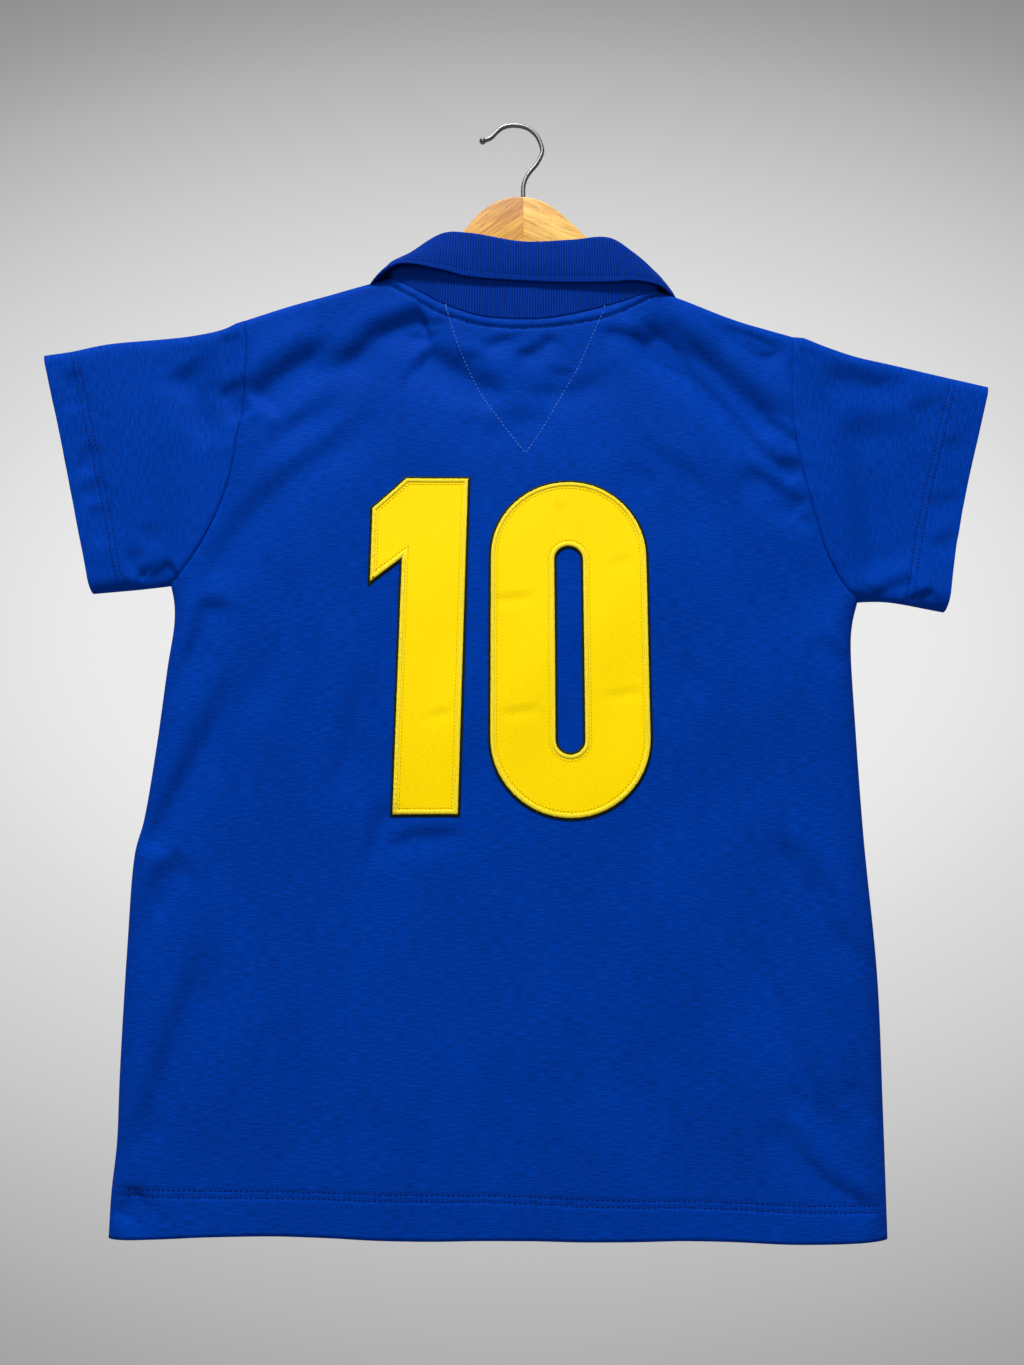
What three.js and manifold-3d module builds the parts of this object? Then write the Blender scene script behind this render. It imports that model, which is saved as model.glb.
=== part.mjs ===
// A short-sleeved football jersey with a ribbed collar and a plain number 10, hung on a wooden hanger.
// X runs across the chest, +Z is up, and the numbered back of the jersey faces -Y.
// The origin is the top of the hollow inside the hook, where a rail would carry it.
import * as THREE from "three";
import { mergeVertices } from "three/addons/utils/BufferGeometryUtils.js";
import Module from "manifold-3d";

// Driving dimensions, in millimetres
const CLOTH = 1.2;
const RIB_CLOTH = 2;
const SEAM_GAP = 0.3;
const SLEEVE_SETTING = 0.45;
const EDGE_SLOPE = 2.4;
const NUMBER_CLOTH = 1;
const NUMBER_LIFT = 0.35;
const COLLAR_BEND = 2.2;
const HANGER_THICK = 12;
const HANGER_CLEARANCE = 2;
const MITRE_X = 8.3;
const WIRE_RADIUS = 2;
const WIRE_BALL_RADIUS = 3;
const WIRE_HOLE_RADIUS = 2.4;
const WIRE_HOLE_BOTTOM = -96;
const OUTLINE_STEP = 6;
const NUMBER_REACH = 40;
const HANGER_BEVEL = { size: 5, thick: 4.5, segments: 3 };
const HANGER_SAMPLES = 40;
const HALF_BOX = { wide: 300, deep: 100, tall: 400, middle: -150 };
const DRILL = { long: 60, sides: 16 };
const WIRE_SIDES = 8;
const WIRE_STEPS = 30;
const BALL_SIDES = { round: 10, up: 8 };

const BACK = -1;
const FRONT = 1;

// Colours of the pieces
const BLUE = 0x0037a0;
const RIB_BLUE = 0x10359c;
const YELLOW = 0xfbdc00;
const WOOD = 0xcf9a55;
const STEEL = 0xb9bcc0;
const CLOTH_ROUGHNESS = 0.75;
const RIB_ROUGHNESS = 0.85;
const NUMBER_ROUGHNESS = 0.65;
const WOOD_ROUGHNESS = 0.4;
const STEEL_ROUGHNESS = 0.25;

// Outlines of the pieces as seen from behind, each row a point of the curve
const LEFT_SHOULDER = [
  { x: -224.6, z: -184.3 },
  { x: -189, z: -171.8 },
  { x: -155.5, z: -161.6 },
  { x: -121.9, z: -151.4 },
  { x: -102, z: -145.3 },
];
const RIGHT_SHOULDER = [
  { x: 121, z: -157.5 },
  { x: 139.6, z: -164.8 },
  { x: 190.9, z: -186.3 },
  { x: 212.5, z: -193.2 },
  { x: 233.2, z: -199.4 },
];
const BACK_NECK = [
  { x: -102, z: -145.3 },
  { x: -97.5, z: -151 },
  { x: -78, z: -162.5 },
  { x: -55.9, z: -173.9 },
  { x: -28.6, z: -183.7 },
  { x: 13.7, z: -187.2 },
  { x: 43.7, z: -183.5 },
  { x: 82.2, z: -173.4 },
  { x: 104, z: -166.5 },
  { x: 116.5, z: -162 },
  { x: 121, z: -157.5 },
];
const FRONT_NECK_LEFT = [
  { x: 6, z: -287 },
  { x: -30, z: -253 },
  { x: -62, z: -215 },
  { x: -88, z: -174 },
  { x: -98.5, z: -152 },
  { x: -102, z: -145.3 },
];
const FRONT_NECK_RIGHT = [
  { x: 121, z: -157.5 },
  { x: 116.5, z: -164.5 },
  { x: 104, z: -186 },
  { x: 76, z: -222 },
  { x: 42, z: -256 },
  { x: 6, z: -287 },
];
const LEFT_ARMHOLE = [
  { x: -224.6, z: -184.3 },
  { x: -221.6, z: -204 },
  { x: -221.3, z: -228.3 },
  { x: -221.9, z: -253.3 },
  { x: -224.2, z: -278 },
  { x: -231.4, z: -332.2 },
  { x: -248.3, z: -377.9 },
  { x: -266, z: -406.5 },
  { x: -275.1, z: -414.7 },
];
const RIGHT_ARMHOLE = [
  { x: 233.2, z: -199.4 },
  { x: 230.6, z: -218 },
  { x: 229.8, z: -238 },
  { x: 228.8, z: -278 },
  { x: 234.5, z: -323 },
  { x: 244.4, z: -368.9 },
  { x: 250.2, z: -390.5 },
  { x: 265, z: -419.3 },
  { x: 275.1, z: -428.4 },
];
const LEFT_SIDE = [
  { x: -275.1, z: -414.7 },
  { x: -271.6, z: -428 },
  { x: -270.3, z: -446 },
  { x: -273.6, z: -482 },
  { x: -278.4, z: -544 },
  { x: -284.8, z: -603 },
  { x: -289.8, z: -625 },
  { x: -291.2, z: -696 },
  { x: -290.8, z: -786 },
  { x: -289.6, z: -835 },
  { x: -291.3, z: -868 },
  { x: -291.3, z: -898.7 },
];
const RIGHT_SIDE = [
  { x: 275.1, z: -428.4 },
  { x: 270.1, z: -445 },
  { x: 267.6, z: -462 },
  { x: 267.4, z: -534 },
  { x: 268.6, z: -613 },
  { x: 272.6, z: -718 },
  { x: 270.9, z: -810 },
  { x: 268.6, z: -899.5 },
];
const BACK_HEM = [
  { x: -291.3, z: -898.7 },
  { x: -224.6, z: -895.7 },
  { x: -165.7, z: -895.7 },
  { x: -67.5, z: -898.4 },
  { x: 98, z: -898.7 },
  { x: 200, z: -900 },
  { x: 268.6, z: -899.5 },
];
const FRONT_HEM = [
  { x: -291.3, z: -898.7 },
  { x: -180, z: -899.5 },
  { x: 60, z: -900.5 },
  { x: 150, z: -902.5 },
  { x: 200, z: -905.2 },
  { x: 246, z: -904.6 },
  { x: 268.6, z: -899.5 },
];
const LEFT_SLEEVE_TOP = [
  { x: -224.6, z: -184.3 },
  { x: -233, z: -187.2 },
  { x: -243, z: -192.3 },
  { x: -271.4, z: -198.6 },
  { x: -340.2, z: -206 },
  { x: -370.6, z: -212.6 },
  { x: -391.8, z: -215.9 },
];
const LEFT_UNDERARM = [
  { x: -275.1, z: -414.7 },
  { x: -290.6, z: -416.7 },
  { x: -337.3, z: -421.2 },
];
const LEFT_CUFF = [
  { x: -391.8, z: -215.9 },
  { x: -381.6, z: -252.8 },
  { x: -360.6, z: -330.6 },
  { x: -337.3, z: -421.2 },
];
const RIGHT_SLEEVE_TOP = [
  { x: 233.2, z: -199.4 },
  { x: 243.2, z: -200.8 },
  { x: 259.2, z: -207.4 },
  { x: 284.2, z: -216.9 },
  { x: 316.3, z: -224.6 },
  { x: 393.6, z: -244.1 },
];
const RIGHT_UNDERARM = [
  { x: 275.1, z: -428.4 },
  { x: 285.6, z: -427.8 },
  { x: 302.9, z: -428.6 },
  { x: 344, z: -436.4 },
];
const RIGHT_CUFF = [
  { x: 393.6, z: -244.1 },
  { x: 380.8, z: -289.2 },
  { x: 361.5, z: -358 },
  { x: 344, z: -436.4 },
];
// The hanger's top between the shoulders, and its two ends; under the shoulders it follows the cloth
const HANGER_NECK = [
  { x: -99.5, z: -148.6 },
  { x: -84, z: -138 },
  { x: -62, z: -119.5 },
  { x: -42.9, z: -100.8 },
  { x: -28.7, z: -83.4 },
  { x: -13.9, z: -72.5 },
  { x: 3, z: -68.4 },
  { x: 20.8, z: -71.1 },
  { x: 35.6, z: -80.1 },
  { x: 49.3, z: -93.3 },
  { x: 68, z: -113.5 },
  { x: 92, z: -141 },
  { x: 118.5, z: -160.6 },
];
const HANGER_LEFT_END = { x: -219, z: -185.5 };
const HANGER_RIGHT_END = { x: 226, z: -201 };
const HANGER_BOTTOM = [
  { x: 226, z: -211 },
  { x: 205, z: -215 },
  { x: 150, z: -197.5 },
  { x: 92, z: -171 },
  { x: 45, z: -137 },
  { x: 8.3, z: -122 },
  { x: -28, z: -130 },
  { x: -75, z: -158 },
  { x: -130, z: -182 },
  { x: -197, z: -203.5 },
  { x: -219, z: -196 },
];
const WIRE = [
  { x: -26.9, z: -13.2 },
  { x: -22.1, z: -11.5 },
  { x: -19, z: -9.5 },
  { x: -14.1, z: -3.9 },
  { x: -8.1, z: 0.6 },
  { x: 1, z: 2.1 },
  { x: 12, z: -0.5 },
  { x: 20, z: -7.9 },
  { x: 24, z: -16.9 },
  { x: 25, z: -23.6 },
  { x: 20.9, z: -34.3 },
  { x: 11.9, z: -47.1 },
  { x: 8.8, z: -56 },
  { x: 8.3, z: -67 },
  { x: 8.3, z: -82 },
  { x: 8.3, z: -95.6 },
];

// How far each cloth stands from the middle plane, and how wide its edge is rounded, by height
const BODY_FORM = [
  { z: -140, deep: 9.2, round: 10 },
  { z: -225, deep: 9.4, round: 11 },
  { z: -330, deep: 13, round: 18 },
  { z: -450, deep: 14, round: 26 },
  { z: -700, deep: 12.5, round: 26 },
  { z: -910, deep: 10.5, round: 24 },
];
// The same along a sleeve, by distance from the middle of the body
const SLEEVE_FORM = [
  { across: 235, deep: 9.2, round: 13 },
  { across: 300, deep: 8.2, round: 13 },
  { across: 395, deep: 7, round: 12 },
];

// Where the body's form passes into the sleeve's, going out, and where it does so going up
const SLEEVE_BLEND = { from: 200, to: 262 };
const ARMPIT_BLEND = { from: -470, to: -400 };
// Gentle waves that grow towards the open hem
const WAVE = { deep: 1.8, long: 150, from: -640, to: -900 };

// Soft folds of the back and the sleeves behind: a bent line, how deep it sinks and how wide it is
const BACK_FOLDS = [
  { x1: -70, z1: -182, x2: -125, z2: -198, x3: -160, z3: -234, deep: 3.2, wide: 8 },
  { x1: -146, z1: -208, x2: -196, z2: -226, x3: -246, z3: -282, deep: 3.4, wide: 13 },
  { x1: -100, z1: -246, x2: -150, z2: -288, x3: -246, z3: -368, deep: 2.2, wide: 13 },
  { x1: -72, z1: -206, x2: -40, z2: -240, x3: 8, z3: -262, deep: 1.6, wide: 11 },
  { x1: -205, z1: -460, x2: -240, z2: -530, x3: -287, z3: -622, deep: 4.6, wide: 12 },
  { x1: -240, z1: -600, x2: -268, z2: -632, x3: -286, z3: -680, deep: 2.6, wide: 12 },
  { x1: -136, z1: -415, x2: -166, z2: -480, x3: -180, z3: -565, deep: 1.4, wide: 12 },
  { x1: -98, z1: -575, x2: -112, z2: -612, x3: -128, z3: -650, deep: 1.4, wide: 9 },
  { x1: -222, z1: -680, x2: -256, z2: -756, x3: -284, z3: -858, deep: 3.2, wide: 14 },
  { x1: 66, z1: -190, x2: 128, z2: -194, x3: 162, z3: -268, deep: 2.4, wide: 8 },
  { x1: 132, z1: -206, x2: 190, z2: -228, x3: 240, z3: -300, deep: 3.6, wide: 13 },
  { x1: 176, z1: -292, x2: 208, z2: -304, x3: 246, z3: -320, deep: 1.8, wide: 9 },
  { x1: 184, z1: -322, x2: 214, z2: -336, x3: 250, z3: -354, deep: 1.6, wide: 9 },
  { x1: 128, z1: -296, x2: 152, z2: -326, x3: 170, z3: -362, deep: 1.5, wide: 10 },
  { x1: 206, z1: -596, x2: 238, z2: -656, x3: 264, z3: -724, deep: 2.4, wide: 14 },
  { x1: 172, z1: -676, x2: 204, z2: -746, x3: 252, z3: -848, deep: 3, wide: 15 },
  { x1: 190, z1: -808, x2: 218, z2: -846, x3: 256, z3: -876, deep: 2, wide: 10 },
  { x1: -24, z1: -640, x2: -36, z2: -740, x3: -30, z3: -880, deep: 1.6, wide: 22 },
  { x1: 92, z1: -650, x2: 86, z2: -760, x3: 98, z3: -890, deep: 1.8, wide: 20 },
  { x1: -292, z1: -226, x2: -276, z2: -262, x3: -250, z3: -292, deep: 2.6, wide: 9 },
  { x1: -304, z1: -392, x2: -286, z2: -398, x3: -266, z3: -384, deep: 2, wide: 7 },
  { x1: 262, z1: -268, x2: 270, z2: -330, x3: 278, z3: -392, deep: 2, wide: 10 },
  { x1: 268, z1: -420, x2: 290, z2: -416, x3: 312, z3: -400, deep: 1.8, wide: 7 },
];
// Soft folds of the front and the sleeves in front
const FRONT_FOLDS = [
  { x1: -118, z1: -204, x2: -170, z2: -236, x3: -232, z3: -300, deep: 3, wide: 12 },
  { x1: 124, z1: -210, x2: 176, z2: -244, x3: 236, z3: -312, deep: 3, wide: 12 },
  { x1: -60, z1: -290, x2: -104, z2: -330, x3: -176, z3: -372, deep: 1.8, wide: 13 },
  { x1: 62, z1: -296, x2: 118, z2: -338, x3: 182, z3: -374, deep: 1.8, wide: 13 },
  { x1: -196, z1: -470, x2: -232, z2: -548, x3: -276, z3: -634, deep: 3.6, wide: 14 },
  { x1: 188, z1: -486, x2: 224, z2: -560, x3: 258, z3: -650, deep: 3.2, wide: 14 },
  { x1: -210, z1: -690, x2: -244, z2: -770, x3: -272, z3: -860, deep: 3, wide: 15 },
  { x1: 196, z1: -700, x2: 224, z2: -776, x3: 246, z3: -866, deep: 2.8, wide: 15 },
  { x1: 4, z1: -312, x2: 10, z2: -400, x3: 2, z3: -500, deep: 1.8, wide: 20 },
  { x1: -96, z1: -600, x2: -90, z2: -740, x3: -100, z3: -890, deep: 2.2, wide: 24 },
  { x1: 70, z1: -590, x2: 60, z2: -740, x3: 66, z3: -890, deep: 2.2, wide: 24 },
  { x1: -300, z1: -236, x2: -280, z2: -276, x3: -252, z3: -306, deep: 2, wide: 10 },
  { x1: 300, z1: -262, x2: 284, z2: -300, x3: 256, z3: -330, deep: 2, wide: 10 },
];

// Rows of the collar round the neck: k runs 0 to 1 up the left front, 1 to 2 across the back
// and 2 to 3 down the right front; facing is the way it looks out, in degrees from +X;
// f is the top of its stand and e the edge of its fall
const COLLAR = [
  { k: 0.03, facing: 90, lift: 0.9, fx: 2.4, fy: 13.4, fz: -279, ex: -24, ey: 16, ez: -322 },
  { k: 0.35, facing: 90, lift: 1.4, fx: -30, fy: 13, fz: -242, ex: -79, ey: 14.4, ez: -272 },
  { k: 0.7, facing: 90, lift: 1.4, fx: -70, fy: 12, fz: -190, ex: -118, ey: 12.6, ez: -214 },
  { k: 0.9, facing: 100, lift: 1.2, fx: -95, fy: 11.5, fz: -151, ex: -129, ey: 12.6, ez: -174 },
  { k: 0.96, facing: 135, lift: 2.2, fx: -102, fy: 8, fz: -140, ex: -125, ey: 9.5, ez: -151 },
  { k: 1, facing: 180, lift: 2.2, fx: -105, fy: 0, fz: -137, ex: -121.5, ey: 0, ez: -146.5 },
  { k: 1.035, facing: 225, lift: 2.2, fx: -101.5, fy: -8, fz: -133, ex: -111, ey: -11.5, ez: -139.5 },
  { k: 1.1, facing: 258, lift: 0.6, fx: -86, fy: -12.5, fz: -126, ex: -92, ey: -16.5, ez: -138.5 },
  { k: 1.2, facing: 270, lift: 0.55, fx: -59, fy: -13.5, fz: -114, ex: -62, ey: -18, ez: -143 },
  { k: 1.3, facing: 270, lift: 0.55, fx: -38, fy: -13.5, fz: -114.5, ex: -39, ey: -18, ez: -151 },
  { k: 1.5, facing: 270, lift: 0.55, fx: 8, fy: -13.5, fz: -122.8, ex: 8, ey: -18, ez: -155.5 },
  { k: 1.68, facing: 270, lift: 0.55, fx: 48, fy: -13.5, fz: -120.8, ex: 48, ey: -18, ez: -157 },
  { k: 1.82, facing: 270, lift: 0.55, fx: 80, fy: -13.5, fz: -118.8, ex: 82, ey: -18, ez: -156.5 },
  { k: 1.9, facing: 278, lift: 0.6, fx: 98, fy: -12.5, fz: -129, ex: 103, ey: -17, ez: -156 },
  { k: 1.96, facing: 305, lift: 1.8, fx: 114, fy: -9, fz: -143, ex: 124, ey: -13.5, ez: -159 },
  { k: 2, facing: 360, lift: 2.2, fx: 124, fy: 0, fz: -149.5, ex: 139.5, ey: 0, ez: -160.5 },
  { k: 2.04, facing: 405, lift: 2.2, fx: 121, fy: 8, fz: -152.5, ex: 142, ey: 9.5, ez: -165.5 },
  { k: 2.1, facing: 440, lift: 1.3, fx: 113, fy: 11.5, fz: -164, ex: 146, ey: 12.6, ez: -188 },
  { k: 2.3, facing: 450, lift: 1.4, fx: 88, fy: 12, fz: -200, ex: 134, ey: 12.8, ez: -229 },
  { k: 2.65, facing: 450, lift: 1.4, fx: 46, fy: 13, fz: -244, ex: 93, ey: 14.6, ez: -276 },
  { k: 2.97, facing: 450, lift: 0.9, fx: 9.6, fy: 13.4, fz: -279, ex: 36, ey: 16, ez: -322 },
];
const COLLAR_STEPS = 2;

// The numerals, as seen from behind
const ONE = [
  { x: -112.6, z: -354.4 },
  { x: -86, z: -329.6 },
  { x: -37.2, z: -330 },
  { x: -43, z: -597 },
  { x: -91.4, z: -597 },
  { x: -88, z: -394 },
  { x: -112.8, z: -414 },
];
const ZERO = {
  x: 43.6, wide: 122, top: -333, bottom: -600, holeWide: 24, holeTop: -385, holeBottom: -553,
};
const ARC_STEPS = 9;

// Stations along the panels: close together where the cloth is rounded, even elsewhere
const ARMHOLE_STATIONS = [
  0, 0.004, 0.012, 0.035, 0.075, 0.14, 0.22, 0.31, 0.4, 0.49, 0.58, 0.67, 0.76, 0.84, 0.91, 0.955,
  0.983, 1,
];
const SIDE_STATIONS = evenly(0, 1, 16);
const SHOULDER_STATIONS = [0, 0.03, 0.08, 0.17, 0.32, 0.52, 0.75, 1];
const BACK_NECK_STATIONS = [
  0, 0.008, 0.022, 0.045, 0.09, 0.16, 0.23, 0.3, 0.37, 0.44, 0.5, 0.56, 0.63, 0.7, 0.77, 0.84, 0.91,
  0.955, 0.978, 0.992, 1,
];
const FRONT_NECK_STATIONS = [0, 0.012, 0.035, 0.09, 0.2, 0.38, 0.6, 0.8, 1];
const SLEEVE_STATIONS = evenly(0, 1, 8);
const SHOULDER_SHARE = 0.26;
const ARMHOLE_SHARE = 0.33;

const wasm = await Module();
wasm.setup();

function evenly(from, to, steps) {
  return Array.from({ length: steps + 1 }, (_, i) => from + ((to - from) * i) / steps);
}

function curveOf(rows) {
  const points = rows.map(({ x, z }) => new THREE.Vector3(x, 0, z));
  return new THREE.CatmullRomCurve3(points, false, "centripetal");
}

// A value of a table at a place between its rows
function between(rows, key, at, column) {
  const sign = rows[1][key] > rows[0][key] ? 1 : -1;
  const next = rows.findIndex((row) => sign * row[key] > sign * at);
  if (next === 0) return rows[0][column];
  if (next < 0) return rows[rows.length - 1][column];
  const low = rows[next - 1];
  const high = rows[next];
  const share = THREE.MathUtils.smoothstep(sign * at, sign * low[key], sign * high[key]);
  return THREE.MathUtils.lerp(low[column], high[column], share);
}

const leftArmhole = curveOf(LEFT_ARMHOLE);
const rightArmhole = curveOf(RIGHT_ARMHOLE);
const leftSide = curveOf(LEFT_SIDE);
const rightSide = curveOf(RIGHT_SIDE);
const leftShoulder = curveOf(LEFT_SHOULDER);
const rightShoulder = curveOf(RIGHT_SHOULDER);
const leftSleeveTop = curveOf(LEFT_SLEEVE_TOP);
const rightSleeveTop = curveOf(RIGHT_SLEEVE_TOP);
const leftUnderarm = curveOf(LEFT_UNDERARM);
const rightUnderarm = curveOf(RIGHT_UNDERARM);
const backNeck = curveOf(BACK_NECK);
const frontNeckLeft = curveOf(FRONT_NECK_LEFT);
const frontNeckRight = curveOf(FRONT_NECK_RIGHT);

const lowered = (rows) => rows.map(({ x, z }) => ({ x, z: z - HANGER_CLEARANCE }));
const HANGER_TOP = [
  HANGER_LEFT_END,
  ...lowered(LEFT_SHOULDER.slice(1, -1)),
  ...HANGER_NECK,
  ...lowered(RIGHT_SHOULDER.slice(1, -1)),
  HANGER_RIGHT_END,
];
const hangerTop = curveOf(HANGER_TOP);

// The closed edge of the flattened jersey as short segments, each with the way into the cloth.
// inward is 1 where the cloth lies to the right of the way along the curve, and -1 to the left.
function segmentsOf(curve, inward, lower = 0) {
  const steps = Math.ceil(curve.getLength() / OUTLINE_STEP);
  const points = curve.getSpacedPoints(steps);
  return points.slice(1).map((end, i) => {
    const start = points[i];
    const along = end.clone().sub(start);
    const length = along.length();
    return {
      x: start.x,
      z: start.z + lower,
      dx: along.x / length,
      dz: along.z / length,
      length,
      nx: (inward * along.z) / length,
      nz: (-inward * along.x) / length,
    };
  });
}

// Inside the neck the cloth is shaped by the hanger, so its ridge is the hanger's top
const neckRidge = curveOf([
  LEFT_SHOULDER[LEFT_SHOULDER.length - 1],
  ...HANGER_NECK.slice(1, -1).map(({ x, z }) => ({ x, z: z + HANGER_CLEARANCE })),
  RIGHT_SHOULDER[0],
]);
const OUTLINE = [
  ...segmentsOf(leftSleeveTop, -1),
  ...segmentsOf(leftShoulder, 1),
  ...segmentsOf(neckRidge, 1),
  ...segmentsOf(rightShoulder, 1),
  ...segmentsOf(rightSleeveTop, 1),
  ...segmentsOf(leftUnderarm, 1),
  ...segmentsOf(leftSide, -1),
  ...segmentsOf(rightUnderarm, -1),
  ...segmentsOf(rightSide, 1),
];

// Distance from the closed edge, and the way in from it
function fromEdge(x, z) {
  let best = { distance: Infinity, gx: 0, gz: 0 };
  for (const part of OUTLINE) {
    const along = (x - part.x) * part.dx + (z - part.z) * part.dz;
    const held = THREE.MathUtils.clamp(along, 0, part.length);
    const awayX = x - part.x - held * part.dx;
    const awayZ = z - part.z - held * part.dz;
    const distance = Math.hypot(awayX, awayZ);
    if (distance >= best.distance) continue;
    const close = distance < 2 * SEAM_GAP;
    best = {
      distance,
      gx: close ? part.nx : awayX / distance,
      gz: close ? part.nz : awayZ / distance,
    };
  }
  const onEdge = best.distance < SEAM_GAP / 2;
  return { ...best, distance: onEdge ? 0 : best.distance };
}

function bentLine({ x1, z1, x2, z2, x3, z3 }, share) {
  const rest = 1 - share;
  return {
    x: rest * rest * x1 + 2 * rest * share * x2 + share * share * x3,
    z: rest * rest * z1 + 2 * rest * share * z2 + share * share * z3,
  };
}

// A fold is deepest along the middle of its line and fades to both ends
const FOLD_STEPS = 12;
const FOLD_FADE = 0.7;
function prepared(folds) {
  return folds.map((fold) => ({
    ...fold,
    line: evenly(0, 1, FOLD_STEPS).map((share) => bentLine(fold, share)),
  }));
}
const FOLDS = { [BACK]: prepared(BACK_FOLDS), [FRONT]: prepared(FRONT_FOLDS) };

function sunkBy(fold, x, z) {
  let nearest = Infinity;
  let at = 0;
  for (let i = 0; i < FOLD_STEPS; i += 1) {
    const start = fold.line[i];
    const end = fold.line[i + 1];
    const dx = end.x - start.x;
    const dz = end.z - start.z;
    const raw = ((x - start.x) * dx + (z - start.z) * dz) / (dx * dx + dz * dz);
    const share = THREE.MathUtils.clamp(raw, 0, 1);
    const distance = Math.hypot(x - start.x - share * dx, z - start.z - share * dz);
    if (distance >= nearest) continue;
    nearest = distance;
    at = (i + share) / FOLD_STEPS;
  }
  const fade = Math.sin(Math.PI * THREE.MathUtils.clamp(at, 0, 1)) ** FOLD_FADE;
  return fold.deep * fade * Math.exp(-((nearest / fold.wide) ** 2) / 2);
}

function waved(x, z, face) {
  const grown = THREE.MathUtils.smoothstep(-z, -WAVE.from, -WAVE.to);
  return WAVE.deep * grown * Math.sin((2 * Math.PI * x) / WAVE.long + face);
}

// How far the cloth would stand from the middle plane if its edges weren't rounded
function fullDepth(x, z, face) {
  const across = Math.abs(x);
  const sleeve = sleeveShare(across, z);
  const body = between(BODY_FORM, "z", z, "deep");
  const set = between(SLEEVE_FORM, "across", across, "deep");
  const folds = FOLDS[face].reduce((sum, fold) => sum + sunkBy(fold, x, z), 0);
  return THREE.MathUtils.lerp(body, set, sleeve) - folds + waved(x, z, face);
}

function sleeveShare(across, z) {
  const outward = THREE.MathUtils.smoothstep(across, SLEEVE_BLEND.from, SLEEVE_BLEND.to);
  return outward * THREE.MathUtils.smoothstep(z, ARMPIT_BLEND.from, ARMPIT_BLEND.to);
}

function roundWidth(x, z) {
  const across = Math.abs(x);
  const sleeve = sleeveShare(across, z);
  const body = between(BODY_FORM, "z", z, "round");
  return THREE.MathUtils.lerp(body, between(SLEEVE_FORM, "across", across, "round"), sleeve);
}

// At the closed edge the two walls stay half a seam gap from the middle plane
const EDGE_DEPTH = SEAM_GAP / 2 + CLOTH / Math.hypot(1, EDGE_SLOPE);
const SLOPE_STEP = 0.5;

// A point on the cloth, moved out along its normal, with face BACK or FRONT
function clothPoint(x, z, face, out = 0) {
  const edge = fromEdge(x, z);
  const width = roundWidth(x, z);
  const rest = 1 - Math.min(edge.distance / width, 1);
  const rise = Math.sqrt(1 - rest * rest);
  const full = fullDepth(x, z, face) - EDGE_DEPTH;
  const depth = EDGE_DEPTH + full * rise;
  const steep = Math.min((full * rest) / (width * Math.max(rise, 1e-6)), EDGE_SLOPE);
  const east = fullDepth(x + SLOPE_STEP, z, face) - fullDepth(x - SLOPE_STEP, z, face);
  const north = fullDepth(x, z + SLOPE_STEP, face) - fullDepth(x, z - SLOPE_STEP, face);
  const dx = steep * edge.gx + (rise * east) / (2 * SLOPE_STEP);
  const dz = steep * edge.gz + (rise * north) / (2 * SLOPE_STEP);
  const normal = new THREE.Vector3(-dx, face, -dz).normalize();
  return new THREE.Vector3(x, face * depth, z).addScaledVector(normal, out);
}

// Points spread over the area between four curves, in the middle plane
function spreadPoints(top, bottom, left, right, columns, rows) {
  return rows.map((v) =>
    columns.map((u) => {
      const across = left(v)
        .multiplyScalar(1 - u)
        .addScaledVector(right(v), u);
      const down = top(u)
        .multiplyScalar(1 - v)
        .addScaledVector(bottom(u), v);
      const corners = top(0)
        .multiplyScalar((1 - u) * (1 - v))
        .addScaledVector(top(1), u * (1 - v))
        .addScaledVector(bottom(0), (1 - u) * v)
        .addScaledVector(bottom(1), u * v);
      return across.add(down).sub(corners);
    }),
  );
}

function onFace(plan, face, out) {
  return plan.map((row) => row.map(({ x, z }) => clothPoint(x, z, face, out)));
}

// Where two pieces meet at a seam, each wall's cut edge stays square to the seam as seen from behind:
// the inner points of a line keep only the part of their offset that runs along the line
function squareEdge(outerLine, innerLine) {
  const last = outerLine.length - 1;
  outerLine.forEach((point, i) => {
    const along = outerLine[Math.min(i + 1, last)].clone().sub(outerLine[Math.max(i - 1, 0)]);
    along.y = 0;
    along.normalize();
    const offset = innerLine[i].clone().sub(point);
    const depth = offset.y;
    offset.y = 0;
    innerLine[i].copy(point).addScaledVector(along, offset.dot(along));
    innerLine[i].y = point.y + depth;
  });
}

function geometryOf(vertices, faces) {
  const geometry = new THREE.BufferGeometry();
  const flat = vertices.flatMap(({ x, y, z }) => [x, y, z]);
  geometry.setAttribute("position", new THREE.Float32BufferAttribute(flat, 3));
  geometry.setIndex(faces.flat());
  geometry.computeVertexNormals();
  return geometry;
}

// Six times the volume that a closed set of faces holds
function volumeOf(vertices, faces) {
  const normal = new THREE.Vector3();
  return faces.reduce((sum, [a, b, c]) => {
    normal.crossVectors(vertices[b], vertices[c]);
    return sum + vertices[a].dot(normal);
  }, 0);
}

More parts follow.
